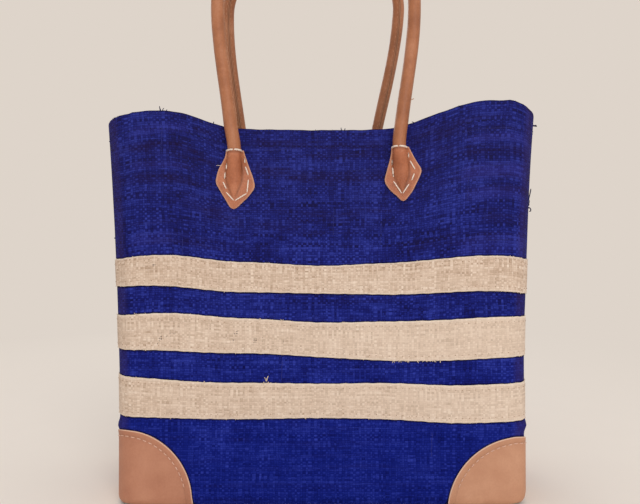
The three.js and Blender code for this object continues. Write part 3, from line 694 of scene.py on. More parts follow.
def leather(name, dark, mid, light, edge_colour, gloss, grain=0.00012):
    """Vegetable-tanned hide: cloudy tone, fine pores and faint scratches. The field "edge" is 1 on raw edges,
    which are pale, and less than 0 where shade is painted, in creases and grooves, which are dark."""
    g = Graph(name)
    place = g.vector("place")
    clouds = g.noise(place, 0.035, 4.0, 0.55)
    fine = g.noise(place, 0.5, 3.0, 0.6)
    tone = g.total(g.times(clouds, 0.75), g.times(fine, 0.25))
    inputs = {"Vector": place, "Scale": 1.25, "Randomness": 1.0}
    pores = g.node("ShaderNodeTexVoronoi", inputs, feature="DISTANCE_TO_EDGE")
    drawn_out = g.node("ShaderNodeVectorMath", {0: place, 1: (0.9, 0.9, 0.12)}, operation="MULTIPLY")
    stretch = g.noise(drawn_out, 1.0, 3.0, 0.6)
    mark = g.field("edge")
    raw = g.most(mark, 0.0)
    base = g.layers(
        g.ramp(tone, (0.3, dark), (0.52, mid), (0.75, light)),
        (g.times(g.fit(stretch, 0.5, 0.75), 0.22), dark),
        (raw, edge_colour),
        # Painted shade in creases and grooves, where edge is below 0
        (g.most(g.times(mark, -1.0), 0.0), (*dark, 0.4)),
    )
    rough = g.total(g.fit(clouds, 0.3, 0.7, gloss - 0.06, gloss + 0.1), g.times(raw, 0.25))
    height = g.total(g.times(g.fit(pores, 0.0, 0.12), 0.5), g.times(fine, 0.5), g.times(stretch, 0.6))
    return g.close(base, rough, height, grain, shine=0.42)


def thread(name, colour, shade):
    g = Graph(name)
    twist = g.noise(g.vector("place"), 2.2)
    base = g.layers(rgb(*shade), (g.fit(twist, 0.35, 0.65), colour))
    return g.close(base, 0.75, twist, 0.0003, shine=0.25)


BLUE_RAFFIA = blue_raffia()
NATURAL_RAFFIA = natural_raffia()
LINING_CLOTH = lining_cloth()
HIDES = {  # dark, middle and light tones, then the raw edges, the gloss and the grain
    name: leather(f"{name}_leather", *look)
    for name, look in {
        # The right corner's tones are lighter than the left's: painted light, as more light falls on the
        # bag's right
        "left_corner": ((172, 113, 86), (184, 126, 98), (194, 138, 110), (222, 180, 156), 0.62, 0.0001),
        "right_corner": ((184, 129, 98), (194, 141, 110), (206, 155, 124), (228, 190, 166), 0.62, 0.0001),
        "tab": ((146, 78, 44), (180, 109, 74), (204, 140, 106), (206, 154, 124), 0.4),
        "handle": ((140, 81, 47), (168, 105, 68), (188, 128, 93), (200, 158, 126), 0.4),
    }.items()
}
THREADS = {
    name: thread(name, colour, shade)
    for name, colour, shade in (
        ("white_thread", (246, 232, 220), (214, 188, 168)),
        ("tan_thread", (236, 200, 180), (198, 150, 126)),
        ("natural_thread", (232, 214, 192), (204, 180, 152)),
        ("roll_thread", (206, 160, 128), (168, 116, 84)),
        ("dip_thread", (176, 142, 112), (140, 104, 78)),
        ("blue_thread", (34, 38, 112), (12, 12, 48)),
        ("pale_blue", (58, 60, 134), (34, 38, 112)),
        ("blue_fibre", (36, 36, 84), (14, 12, 34)),
        ("cord_cotton", (222, 206, 178), (186, 168, 136)),
    )
}


# Walls, each with its hem rolled over the lining's edge

# Weft of another shade in the front's blue cloth: from x and h to x and h, half the streak's height, and how
# dark it is, or how bright where the number is below 0
DARK_STREAKS = (
    (-205, 347, -132, 351, 4, 1), (-132, 346, -92, 338, 5, 1), (-205, 320, -125, 318, 4.5, 0.9),
    (-130, 370, -92, 366, 6, 0.6), (-140, 300, -90, 296, 9, 0.45), (-120, 290, -80, 286, 10, 0.5),
    (-70, 366, 72, 365, 4.5, 0.85), (-70, 341, -14, 331, 5, 1), (-14, 331, 72, 332, 6, 0.75),
    (-70, 282, -20, 281, 5, 0.5), (84, 365, 150, 360, 8, 0.75), (96, 346, 150, 344, 8, 0.45),
    (146, 338, 206, 338, 5, 0.7), (160, 276, 202, 276, 5, 0.5), (90, 258, 150, 262, 6, 0.35),
    (138, 348, 204, 350, 4, -0.7), (142, 318, 204, 320, 7, -1), (146, 298, 204, 300, 6, -0.7),
    (140, 252, 204, 254, 9, -0.6), (-190, 330, -132, 332, 4, -0.5), (-190, 362, -132, 368, 5, -0.5),
    (-190, 260, -150, 262, 7, -0.4),
)


def cloth_lengths(profile):
    """How far along the cloth each point of a profile lies, and the way back to its first point."""
    return run(np.concatenate([profile, profile[:1]]))


def wall_profile():
    """The section of a wall as (h, out): up the outside, over the rolled rim, down the hem and back."""
    roll = -HEM_INSIDE / 2
    top, hem_end = RIM_HEIGHT - roll, RIM_HEIGHT - HEM_WIDTH
    up = np.arange(0, top, ROW_STEP)
    angle = np.linspace(0, math.pi, 9)
    return np.concatenate([
        [(h, 0) for h in (0, 1.5, 3, 5, *up[up > 6])],
        np.stack([top + roll * np.sin(angle), roll * np.cos(angle) - roll], -1),
        [(h, HEM_INSIDE) for h in np.linspace(RIM_HEIGHT - 6, hem_end + 1, 5)],
        [(hem_end, HEM_INSIDE + 0.3), (hem_end, HEM_OUTSIDE), (RIM_HEIGHT - 4, HEM_OUTSIDE)],
        [(h, -RAFFIA_THICKNESS) for h in (RIM_HEIGHT - 4, *np.linspace(RIM_HEIGHT - 30, 12, 16), 8, 4, 0)],
    ])


def corner_fall(distance):
    depth, low, high = CORNER_LEATHER_FALL
    return depth * (1 - smoothstep(distance, low, high))


def band_edge(base, strays, turn):
    """The height of a band's edge at a turn. It strays on the front as measured, and little elsewhere."""
    _, flat, _, bend = plan_at(RIM_HEIGHT / 2)
    wrapped = (turn + HALF_FACE) % WHOLE_TURN - HALF_FACE
    on_front = smooth_curve(strays, 0.5 + cloth_run(wrapped, flat, bend) / (2 * (flat + bend)))
    past = (wrapped - HALF_FACE) / (WHOLE_TURN - 2 * HALF_FACE)
    home = lerp(strays[-1], strays[0], smoothstep(past, 0, 1)) + 1.2 * np.sin(past * math.pi * 5)
    return base + np.where(wrapped <= HALF_FACE, on_front, home) + waves(turn, (0.13, 61, 0), (0.1, 103, 1))


def wall_fields(middle, turn, h, lengths):
    """What the blue cloth's colour depends on: painted shade at the rim, along the bag's corners and beside
    what is sewn on to it, and darker weft.
    """
    x = surface(turn, h)[..., 0]
    distance = seam_distance(middle, turn, h)
    on_panel = distance if middle in (FRONT, BACK) else -distance
    radius, past, up = (np.where(x < 0, *pair) for pair in zip(*CORNER_LEATHERS.values()))
    over = [h - band_edge(*edge, turn) for edge in BAND_EDGES.values()]
    dusk = np.zeros(x.shape)
    for x_from, h_from, x_to, h_to, half, depth in DARK_STREAKS if middle == FRONT else ():
        share = (x - x_from) / (x_to - x_from)
        inside = smoothstep(share, -0.12, 0.1) * (1 - smoothstep(share, 0.9, 1.12))
        dusk += depth * inside * bell(h, lerp(h_from, h_to, share), half, 4)
    return {
        # edge is painted shade: a thin dark line along the top of the rolled rim
        "edge": np.clip(1.3 - np.abs(lengths[:-1] - RIM_HEIGHT - 1.2) / 2.2, 0, 1)[:, None],
        # Painted shade and dull sheen near each corner of the bag
        "fold": 1 - smoothstep(distance, 0.3 * CORNER_SHADE_WIDTH, CORNER_SHADE_WIDTH),
        "dusk": dusk,
        # corner_gap, over_low and over_high place the painted shade beside sewn-on edges
        "corner_gap": np.hypot(on_panel - past, h + corner_fall(on_panel) - up) - radius,
        "over_low": np.stack(over[::2], -1),
        "over_high": np.stack(over[1::2], -1),
    }


def build_walls():
    profile = wall_profile()
    lengths = cloth_lengths(profile)
    for k, (name, middle) in enumerate(FACES.items()):
        turns, across = face_columns(middle)
        turn = turns + 0 * profile[:, :1]
        wobble = waves(2 * math.pi * turn / WHOLE_TURN, (0.14, 47, 0), (0.12, 83, 1), (0.1, 131, 2))
        h = profile[:, :1] + np.where(profile[:, :1] > RIM_HEIGHT - 8, wobble, 0)
        points = wall_point(turn, h, profile[:, 1:])
        fields = wall_fields(middle, turn, h, lengths)
        node = f"{name}_panel" if middle in (FRONT, BACK) else f"{name}_gusset"
        weave = plane(WALLS_APART * k + across, lengths)
        cloth_piece(f"{node}_cloth", points, weave, fields, BLUE_RAFFIA, [node])


def build_base():
    """The flat bottom, drawn as rings of a rounded rectangle."""
    inset = BOTTOM_EDGE_RADIUS + SEAM_GAP
    radius = BASE_CORNER_RADIUS - inset
    quarter, sign_x, sign_y = quarter_of(round_columns(12))
    angle = np.clip(quarter - 1, 0, 1) * RIGHT_ANGLE
    flat_x, flat_y = BASE_WIDTH / 2 - inset - radius, BAG_DEPTH / 2 - inset - radius
    x = sign_x * (flat_x * np.minimum(quarter, 1) + radius * np.sin(angle))
    y = sign_y * (flat_y * (1 - np.clip(quarter - 2, 0, 1)) + radius * np.cos(angle))
    shares = [1, 0.995, 0.97, 0.8, 0.6, 0.4, 0.2, 0.001]
    rings = [(share, 0.25 * (share > 0.99)) for share in shares[::-1]]
    rings += [(1, 1.2)] + [(share, RAFFIA_THICKNESS) for share in shares[1:]]
    points = np.array([np.stack([x * share, y * share, z + 0 * x], -1) for share, z in rings])
    mesh, _ = closed_grid("base_panel_cloth", points)
    flat = points[..., :2].reshape(-1, 2)
    corners = np.zeros(len(mesh.loops), np.int32)
    mesh.loops.foreach_get("vertex_index", corners)
    add_map(mesh, "Weave", flat[corners] + BASE_APART)
    add_field(mesh, "corner_gap", np.full(len(flat), BASE_WIDTH))
    for side in ("over_low", "over_high"):
        add_field(mesh, side, np.full((len(flat), 3), -BASE_WIDTH))
    finish_piece("base_panel_cloth", mesh, BLUE_RAFFIA, "bag", ["base_panel"])


def build_lining():
    """One bag of thin cloth, closed at the bottom, its edge caught in the hems."""
    turns = round_columns(8)
    rows = np.concatenate([[0, 2, 4, 6], np.linspace(8, RIM_HEIGHT - LINING_BELOW_RIM, 50)])
    h = rows[:, None]
    wrinkle = 0.5 * np.sin(turns * 9) * np.sin(h / 23) * smoothstep(h, 20, 90) * (1 - smoothstep(h, 300, 350))
    outer = wall_point(turns, h, LINING_OUTSIDE)
    inner = wall_point(turns, h, LINING_INSIDE - np.maximum(0, wrinkle))
    points = np.concatenate([outer, inner[::-1]])
    mesh, (corner_rows, corner_columns) = closed_grid("lining_bag", points)
    across = np.linspace(0, 2 * (BASE_WIDTH + BAG_DEPTH), len(turns) + 1)
    weave = plane(across, np.append(rows, LINING_MAP_TOP - rows[::-1]))
    ends = np.concatenate([points[0, ::-1, :2], points[-1, :, :2]])
    add_map(mesh, "Weave", np.concatenate([weave[corner_rows, corner_columns].reshape(-1, 2), ends]))
    finish_piece("lining_bag", mesh, LINING_CLOTH, "bag", ["lining"])


# Natural bands, sewn on over the blue

# Where the weave of the front's bands has opened into pinholes: x, z, how far, and how surely
PINHOLES = (
    (-168, 242, 3, 1), (-161, 169, 4, 0.9), (-150, 173, 7, 0.4), (-163, 163, 3, 0.5), (-86, 174, 2.5, 1),
    (-88, 167, 2.5, 0.8), (-66, 167, 3, 0.8), (-60, 172, 5, 0.15), (-37, 166, 2, 0.6), (92, 166, 18, 0.025),
)


def looseness(points):
    x, y, z = np.moveaxis(points, -1, 0)
    spots = [surely * bell(np.hypot(x - x_at, z - z_at), 0, reach) for x_at, z_at, reach, surely in PINHOLES]
    return np.max(spots, axis=0) * (y < 0)


def build_bands():
    shares = np.concatenate([[0, 0.01], np.linspace(0, 1, 15)[1:-1], [0.99, 1]])
    rows = [(share, BAND_OUTSIDE - 0.3 * (share in (0, 1))) for share in shares]
    rows += [(share, BAND_GAP) for share in shares[::-2]]
    share, out = np.array(rows).T
    puff = 0.1 * np.sin(math.pi * share) ** 0.5 * (out > BAND_GAP)
    worn = (np.abs(share - 0.5) > 0.485)[:, None]
    for i, (level, (_, width, *_)) in enumerate(BANDS.items()):
        for k, (name, middle) in enumerate(FACES.items()):
            turns, across = face_columns(middle, BAND_STEP)
            low, high = (band_edge(*BAND_EDGES[level, way], turns) for way in (-1, 1))
            points = wall_point(turns, lerp(low, high, share[:, None]), (out + puff)[:, None])
            lengths = cloth_lengths(np.stack([share * width, out], -1))
            weave = plane(BANDS_APART * i + BAND_FACES_APART * k + across, lengths)
            fields = {"edge": worn, "loose": looseness(points)}
            node = f"{name}_{level}_band"
            cloth_piece(f"{node}_cloth", points, weave, fields, NATURAL_RAFFIA, [node])


# Leather corners, each with its seam, and whether a panel comes before the seam

CORNERS = {
    "front_right": (FRONT + HALF_FACE, True), "back_right": (RIGHT + HALF_FACE, False),
    "back_left": (BACK + HALF_FACE, True), "front_left": (LEFT + HALF_FACE, False),
}


def corner_outline(name, inset=0.0):
    """The edge of a leather corner on the flat, as (distance from the seam, h), from one end to the other."""
    radius, past, up = CORNER_LEATHERS[name.split("_")[1]]
    radius = radius - inset
    low = max(up, CORNER_LEATHER_TRIM + CORNER_LEATHER_END + CORNER_LEATHER_FALL[0]) + inset * 0.5
    widest = math.acos((low - up) / radius)
    angle = np.linspace(-widest, widest, 97)
    on_panel = past + radius * np.sin(angle)
    h = up + radius * np.cos(angle) - corner_fall(on_panel)
    return np.stack([-on_panel if CORNERS[name][1] else on_panel, h], -1)


def build_corners():
    low, high = CORNER_LEATHER_GAP, CORNER_OUTSIDE
    profile = [(s, high) for s in (0.004, *np.linspace(0.05, 0.9, 18), 0.906)]
    profile += [(CORNER_GROOVE, high - 0.12), (0.916, high), (0.98, high), (0.985, high)]
    profile += [(0.992, high - 0.06), (0.998, high - 0.35), (1, high - 0.6), (1, low + 0.2), (0.996, low)]
    profile += [(s, low) for s in (0.8, 0.6, 0.4, 0.2, 0.004)]
    share, out = np.array(profile).T
    # Below 0 at CORNER_GROOVE: painted shade in the line beside the stitches
    raw = np.interp(share, [0, 0.985, 0.992, 1], [0, 0, 0.9, 0.9]) - 0.25 * bell(share, CORNER_GROOVE, 0.006)
    hub = np.array([0, CORNER_LEATHER_TRIM])
    for name, seam in CORNERS.items():
        arc = corner_outline(name)
        outline = np.concatenate([[hub + [arc[0, 0], 0]], arc, [hub + [arc[-1, 0], 0]]])
        distance, h = np.moveaxis(hub + (outline - hub) * share[:, None, None], -1, 0)
        points = wall_point(turn_from_seam(*seam, distance, h), h, out[:, None])
        hide = HIDES[f"{name.split('_')[1]}_corner"]
        nodes = [f"{name}_corner_leather"]
        hide_piece(f"{name}_corner_hide", points, raw[:, None], hide, "bag", nodes, False)


# Handle tabs

# The ridge that the roll leaves on a tab: at distances below the neck, half its width and its crest's height
RIDGE_DOWN = (0, 9, 20, 32, 42, 52)
RIDGE_HALF = (7, 7.2, 8.4, 8, 4.4, 0.8)
RIDGE_CREST = (14, 12.6, 8.2, 5.2, 3.6, 2.2)

# The corners of the two leaves' outlines, left edge then right edge, as (down, distance from the axis)
LEFT_LEAF = (
    ((-9, 7.6), (6, 8.6), (18, 15.8), (31.5, 18.6), (43.5, 11.5), (57, 3.4)),
    ((-9, 7.7), (1, 9.6), (15.5, 15.2), (26, 19.3), (36, 21.6), (46, 14.6), (57, 3)),
)
RIGHT_LEAF = (
    ((-9, 7.6), (6, 8.6), (26.5, 15.7), (33.8, 18), (43.5, 12.3), (51.3, 3)),
    ((-9, 7.7), (0, 9.2), (10, 14.1), (22.5, 21.2), (31.5, 16.9), (45.8, 8.9), (51.8, 2.8)),
)
TAB_STITCHES = {  # each from (x, down) to (x, down) on the leaf, right of its axis and below its neck
    "left": [
        (-7.4, 12.5, -7.6, 18.3), (-8.9, 21, -9.3, 28), (-11, 30.5, -7.4, 38), (-7.8, 41, 0.2, 49.8),
        (10.4, 7.3, 10.8, 11.5), (11.2, 14.8, 14.4, 23.8), (14.6, 27.8, 13.2, 41.8), (13.3, 42.2, 0.8, 50),
    ],
    "right": [
        (-8.2, 11.5, -8.6, 17.5), (-8.3, 19.2, -8.2, 29.7), (-8.8, 33.2, -0.9, 46.5),
        (8.4, 5.5, 8.5, 10), (9.4, 12.6, 14, 22), (13, 25.8, 9.7, 33.3), (7.2, 36.3, -0.2, 46.5),
    ],
}


class Tab:
    """A handle's foot: the roll opens and flattens into a pointed leaf. Each was cut and sewn by hand.
    x runs to the right of someone who faces the tab's side, and down runs from its neck."""

    def __init__(self, side, hand, x, raised, length, lean, leaf):
        self.side, self.hand, self.x = side, hand, x
        self.raised, self.length, self.lean = raised, length, lean
        self.outline = {sign: np.array(edge).T for sign, edge in zip((-1, 1), leaf)}
        self.name = f"{side}_{hand}"

    def reach(self, down, sign):
        """How far the leaf reaches from its axis on one side, with its corners rounded off."""
        down = np.asarray(down, float)
        soft = np.linspace(-LEAF_SOFTNESS, LEAF_SOFTNESS, 11)
        around = np.interp(down[..., None] + soft, *self.outline[sign]).mean(-1)
        past = np.clip((down - self.length + TAB_TIP) / TAB_TIP, 0, 1)
        return around * np.sqrt(1 - past**2)

    def underside(self, down):
        return (1 - smoothstep(down, 0, TAB_OPENS_OVER)) * (ROLL_RADIUS - TAB_THICKNESS / 2)

    def ridge(self, down, sizes):
        """A size of the ridge that the roll leaves on the leaf."""
        soft = np.asarray(down, float)[..., None] * TAB_LENGTH / self.length + np.linspace(-4, 4, 9)
        return np.interp(soft, RIDGE_DOWN, sizes).mean(-1)

    def top(self, x, down):
        """The height of the leaf's upper face over the wall."""
        low = self.underside(down) + TAB_THICKNESS
        flank = 1 - np.minimum(1, (x / self.ridge(down, RIDGE_HALF)) ** 2)
        roundness = lerp(0.5, 1.2, smoothstep(down, 6, 40))
        return low + np.maximum(0, self.ridge(down, RIDGE_CREST) - low) * flank**roundness

    def point(self, x, down, out):
        z = NECK_Z + self.raised - down
        return panel_point(FACES[self.side], self.x + x + self.lean * down, z, LEATHER_GAP + out)

    def section(self, down):
        """The closed section at a distance below the neck, as (x, out, edge)."""
        bottom = float(self.underside(down))
        ridge_half = float(self.ridge(down, RIDGE_HALF))
        section = []
        for sign in (1, -1):
            half = float(self.reach(down, sign))
            bevel = min(0.7, half * 0.4)
            xs = sign * (half - bevel) * np.linspace(1, 0, 19)
            shoulder = float(self.top(half - bevel, down)) - bevel
            inward = half - np.abs(xs)
            raw = np.interp(inward, [bevel, bevel + 0.5, bevel + 1.1], [0.8, 0.25, 0])
            # Painted shade beside the ridge, and in a line just under the neck's thread
            ridge_shade = bell(np.abs(xs), ridge_half, 1.3) * smoothstep(down, 4, 18)
            ridge_shade = ridge_shade * (1 - smoothstep(down, 38, 52))
            raw = raw - 0.55 * ridge_shade * (inward > 1.5) - 0.5 * bell(down, 2.4, 0.9)
            rim = [(sign * half, bottom + 0.4, 1), (sign * half, shoulder, 1)]
            part = rim + list(zip(xs, self.top(xs, down), raw))
            section += part if sign > 0 else part[-2::-1]
        ridge = min(ROLL_RADIUS, abs(section[-1][0]) * 0.8)
        for x in np.linspace(section[-1][0] * 0.95, section[0][0] * 0.95, 11):
            hollow = math.sqrt(max(0, 1 - (x / ridge) ** 2))
            section.append((x, bottom * (1 - hollow), 0))
        return section


TABS = [
    Tab("front", "left", -88.6, -4.5, 58, 0.0, LEFT_LEAF),
    Tab("front", "right", 80.0, -0.8, 53.7, 0.06, RIGHT_LEAF),
    Tab("back", "right", -61.8, -3, 58, 0.02, LEFT_LEAF),
    Tab("back", "left", 97.2, -2, 55, -0.03, RIGHT_LEAF),
]


def build_tab(tab):
    tip = tab.length - 4 * (1 - np.linspace(0, 0.995, 9)[1:] ** 0.6)
    downs = np.concatenate([np.linspace(0, tab.length - 4, 44), tip])
    x, out, edge = np.moveaxis(np.array([tab.section(down) for down in downs]), -1, 0)
    points = tab.point(x, downs[:, None], out)
    nodes = [f"{tab.name}_tab"]
    hide_piece(f"{tab.name}_tab_hide", points, edge, HIDES["tab"], "bag", nodes)


def build_backing(tab):
    """A smaller leaf inside the bag, which the tab's stitches hold on to."""
    outside = LINING_INSIDE - BACKING_GAP
    start = max(0, HEM_WIDTH - NECK_BELOW_RIM) + BACKING_MARGIN
    downs = np.linspace(start, TAB_LENGTH - BACKING_MARGIN, 30)[:, None]
    half = np.maximum(2, (tab.reach(downs, -1) + tab.reach(downs, 1)) / 2 - BACKING_MARGIN)
    sides = np.concatenate([np.linspace(1, -1, 9), np.linspace(-1, 1, 9)])
    outs = np.repeat([outside, outside - BACKING_THICKNESS], 9)
    points = panel_point(FACES[tab.side], tab.x + sides * half, NECK_Z - downs, outs)
    nodes = [f"{tab.name}_backing"]
    edge = np.abs(sides) > 0.99
    hide_piece(f"{tab.name}_backing_hide", points, edge, HIDES["tab"], "bag", nodes)


# Handles

# How far a roll's seam is twisted off the mouth side, as shares of its length and degrees
SEAM_TURNS = {
    "front": ((0, 0.1, 0.19, 0.3, 0.6, 1), (-104, -100, -84, -60, -8, -8)),
    "back": ((0, 0.2, 0.6, 1), (17, 17, -12, -12)),
}
# The side of the rib on the seam: how far from its middle, how far over the roll, and how raw; below 0,
#  how much shade is painted there
RIB_FLANK = [(1.05, 0.1, -0.5), (1.0, 0.45, 0.4), (0.65, 0.6, 0.5), (0.4, 0.5, -0.3)]
CIRCLE = 0.5523  # how far the handles of a curve reach where it draws a quarter of a circle


def loop_points(spacing, widest_at, slant, drift):
    """The line of a handle's loop in its own plane, from one tab to the other, and its directions."""
    foot, wide, third = spacing / 2, LOOP_WIDTH / 2, widest_at / 3
    bulge = widest_at + CIRCLE * (LOOP_HEIGHT - widest_at)
    leg = [(-foot, 0, 0), (-foot - LEG_SPLAY * third, third, 0), (-wide, 2 * third, 0), (-wide, widest_at, 0)]
    arch = [leg[3], (-wide, bulge, 0), (-CIRCLE * wide, LOOP_HEIGHT, 0), (0, LOOP_HEIGHT, 0)]
    t = np.linspace(0, 1, 400)
    half = np.concatenate([bezier(leg, t)[:-1], bezier(arch, t)])
    place = np.concatenate([half, half[-2::-1] * [-1, 1, 1]])
    place[:, 0] += slant * place[:, 1] + drift * smoothstep(place[:, 1], 10, 90)
    return place, unit(np.gradient(place, axis=0))


def handle_line(side):
    """A roll's line from inside one tab to inside the other, its directions, and the way off the mouth."""
    centre, spacing, *shape = HANDLES[side]
    feet = (centre - spacing / 2, centre + spacing / 2)
    low, high = (panel_point(FACES[side], x, RIM_HEIGHT, NECK_OFF_RIM + ROLL_RADIUS, False) for x in feet)
    sideways = unit((high - low) * [1, 1, 0])
    up = np.array([0, 0, math.cos(HANDLE_LEAN)]) - np.cross(sideways, [0, 0, 1]) * math.sin(HANDLE_LEAN)
    away = np.cross(sideways, up)
    axes = np.stack([sideways, up, away])
    origin = (low + high) / 2 - up * (NECK_BELOW_RIM / math.cos(HANDLE_LEAN))
    place, way = loop_points(spacing, *shape)
    lengths = run(place)
    where = np.linspace(NECK_LENGTH, lengths[-1] - NECK_LENGTH, 190)
    line = origin + along(where, lengths, place) @ axes
    ways = unit(along(where, lengths, way)) @ axes
    tabs = sorted((tab for tab in TABS if tab.side == side), key=lambda tab: tab.x)
    ends = []
    for tab, point, direction in zip(tabs, line[[0, -1]], (ways[0], -ways[-1])):
        foot = tab.point(0, 0, ROLL_RADIUS)
        wall_up = unit(tab.point(0, -20, 0) - tab.point(0, 0, 0))
        hold = NECK_LENGTH / 3
        curve = [foot, foot + wall_up * hold, point - direction * hold, point]
        inside = foot - wall_up * np.array([[8], [4], [1.5], [0.7]])
        ends.append(np.concatenate([inside, bezier(curve, np.linspace(0, 1, 24)[:-1])]))
    line = np.concatenate([ends[0], line, ends[1][::-1]])
    return line, unit(np.gradient(line, axis=0)), away


def roll_section(count=40):
    """A round roll with the two sewn edges of its leather standing up as a rib, as (angle, radius, edge)."""
    half = math.asin(1.15 / WORN_RADIUS)
    angle = np.linspace(half, 2 * math.pi - half, count)
    # An edge below 0 is painted shade: at the ends of the round part, at the rib's foot and down its middle
    section = [(a, WORN_RADIUS, -0.3 if i in (0, count - 1) else 0) for i, a in enumerate(angle)]
    left = [(-across, over, edge) for across, over, edge in RIB_FLANK]
    for across, over, edge in [*left, (0, 0.1, -1), *RIB_FLANK[::-1]]:
        out = WORN_RADIUS + over
        section.append((math.atan2(across, out), math.hypot(across, out), edge))
    return np.array(section).T


def build_handle(side):
    line, ways, off_mouth = handle_line(side)
    away = unit(off_mouth - ways * (ways @ off_mouth)[:, None])
    sideways = np.cross(ways, away)
    lengths = run(line)
    from_end = np.minimum(lengths, lengths[-1] - lengths)
    turns = np.interp(np.linspace(0, 1, 11), *SEAM_TURNS[side])
    twist = np.radians(smooth_curve(turns, lengths / lengths[-1]))
    around, radius, edge = roll_section()
    grown = smoothstep(from_end, 26, 42)[:, None]
    lumps = 0.12 * np.sin(lengths / 13)[:, None] * np.sin(2 * around)
    radius = WORN_RADIUS + (radius - WORN_RADIUS + lumps) * grown
    radius = radius * np.interp(from_end, [0, 6.5, 8.6], [0.72, 0.9, 1])[:, None]
    angle = (around + math.pi + twist[:, None])[..., None]
    ring = sideways[:, None] * np.sin(angle) + away[:, None] * np.cos(angle)
    points = line[:, None] + ring * radius[..., None]
    name = f"{side}_handle"
    nodes = [f"{name}_roll", f"{side}_left_neck", f"{side}_right_neck"]
    piece = hide_piece(f"{name}_hide", points, edge * grown, HIDES["handle"], None, nodes)
    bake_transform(piece)
    inside = line[from_end > CORE_STARTS]
    core = tubes(f"{side}_core", [inside], CORE_RADIUS, "cord_cotton", name, 16)
    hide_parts(f"{side}_handle_core")
    build_seam_stitches(side, line, sideways, away, twist, lengths)


# Stitches

# How far the seams run inside the edges that they hold
BAND_SEAM_INSET = 4.6
HEM_SEAM_INSET = 2.5
CORNER_SEAM_INSET = 6.2
KNOT_HEIGHT = 411  # where the thread of the front roll's seam is tied off


def stitch_spots(first, last, pitch, shown, count=4):
    """For each stitch of a seam, places along the seam from where it comes up to where it goes down."""
    return [np.linspace(start, start + shown, count) for start in np.arange(first, last, pitch)]


def turns_round_bag(step, first, spare, pitch, shown):
    """The turns of each stitch of a seam round the bag, which starts anew on each face."""
    for middle in FACES.values():
        turns, across = face_columns(middle, step)
        for where in stitch_spots(first, across[-1] - spare, pitch, shown):
            yield np.interp(where, across, turns)


def build_seam_stitches(side, line, sideways, away, twist, lengths):
    """The thread along both flanks of the rib, and its loose end on the front roll's right leg."""
    paths = []
    radius = WORN_RADIUS + np.array([[-0.4], [0.1], [0.1], [-0.4]])
    for where in stitch_spots(44, lengths[-1] - 47.4, pitch=5.6, shown=3.4):
        place, side_way, away_way = (along(where, lengths, values) for values in (line, sideways, away))
        for flank in (-1, 1):
            angle = np.interp(where, lengths, twist)[:, None] + math.pi + flank * math.asin(2.5 / WORN_RADIUS)
            paths.append(place + (side_way * np.sin(angle) + away_way * np.cos(angle)) * radius)
    radii = [0.3] * len(paths)
    if side == "front":
        off_knot = np.where(line[:, 0] < 0, np.inf, np.abs(line[:, 2] - KNOT_HEIGHT))
        knot = line[np.argmin(off_knot)]
        paths.append(fibre(knot + [WORN_RADIUS - 0.3, -1, 0], (1, -0.2, 0.1), 3.2, 0.3))
        radii.append(0.4)
    tubes(f"{side}_handle_thread", paths, radii, "roll_thread", f"{side}_handle")


def build_tab_stitches():
    """The white stitches round each leaf, and the thread that binds each neck."""
    paths, radii = [], []
    lift = 0.68 * np.array([-0.9, *[0.75] * 5, -0.9])
    for tab in TABS:
        for x1, down1, x2, down2 in TAB_STITCHES[tab.hand if tab.side == "front" else "left"]:
            x, down = np.linspace(x1, x2, 7), np.linspace(down1, down2, 7)
            paths.append(tab.point(x, down, tab.top(x, down) + lift))
            radii.append(0.68)
        for low, high in ((-104, -10), (-3, 104)):
            angle = np.radians(np.linspace(low, high, 14))
            reach = ROLL_RADIUS + 0.4 - np.array([1, *[0] * 12, 1])
            paths.append(tab.point(reach * np.sin(angle), 0.5, ROLL_RADIUS + reach * np.cos(angle)))
            radii.append(0.95)
    loose = fibre(TABS[0].point(-12.6, 14.4, 2.4), (-1, -0.25, 0.3), 5, 0.3)
    tubes("tab_threads", [*paths, loose], [*radii, 0.22], "white_thread", "bag", 8)


def build_corner_stitches():
    paths = []
    lift = CORNER_OUTSIDE + np.array([-0.5, 0.3, 0.4, 0.3, -0.5])
    for name, seam in CORNERS.items():
        arc = corner_outline(name, CORNER_SEAM_INSET)
        lengths = run(arc)
        for where in stitch_spots(2, lengths[-1] - 5, pitch=6.1, shown=4.3, count=5):
            distance, h = along(where, lengths, arc).T
            paths.append(wall_point(turn_from_seam(*seam, distance, h), h, lift))
    tubes("corner_threads", paths, 0.5, "tan_thread", "bag")


def build_band_stitches():
    """The short dips of the thread that holds each band, a little inside its edges."""
    paths = []
    lift = BAND_OUTSIDE + np.array([-0.25, 0.27, 0.27, -0.25])
    for (_, way), edge in BAND_EDGES.items():
        for turn in turns_round_bag(BAND_STEP, 2, 3, pitch=6.6, shown=1.3):
            paths.append(wall_point(turn, band_edge(*edge, turn) - way * BAND_SEAM_INSET, lift))
    tubes("band_threads", paths, 0.3, "dip_thread", "bag", 5)


def build_hem_stitches():
    paths = []
    lift = np.array([-0.4, 0.2, 0.2, -0.4])
    for turn in turns_round_bag(COLUMN_STEP, 1, 4, pitch=5, shown=3.6):
        for out in (lift, HEM_INSIDE - lift):
            paths.append(wall_point(turn, RIM_HEIGHT - HEM_WIDTH + HEM_SEAM_INSET, out))
    tubes("hem_threads", paths, 0.32, "blue_thread", "bag", 5)


# Loose fibres

# Hairs on the front's rim: x, how far aside they lean, length and curl
RIM_HAIRS = (
    (-161, 0.5, 4.5, 0.9), (-160, 1.4, 4, 0.4), (-161, -0.8, 3, -0.5), (-156, 1.2, 2.4, 0.3),
    (21, 0.3, 3, 0.5), (24, 1.0, 2.5, 0.5), (-110, 0.8, 2.5, 0.4), (95, -0.7, 2.5, 0.5), (140, -0.8, 2, 0.5),
)
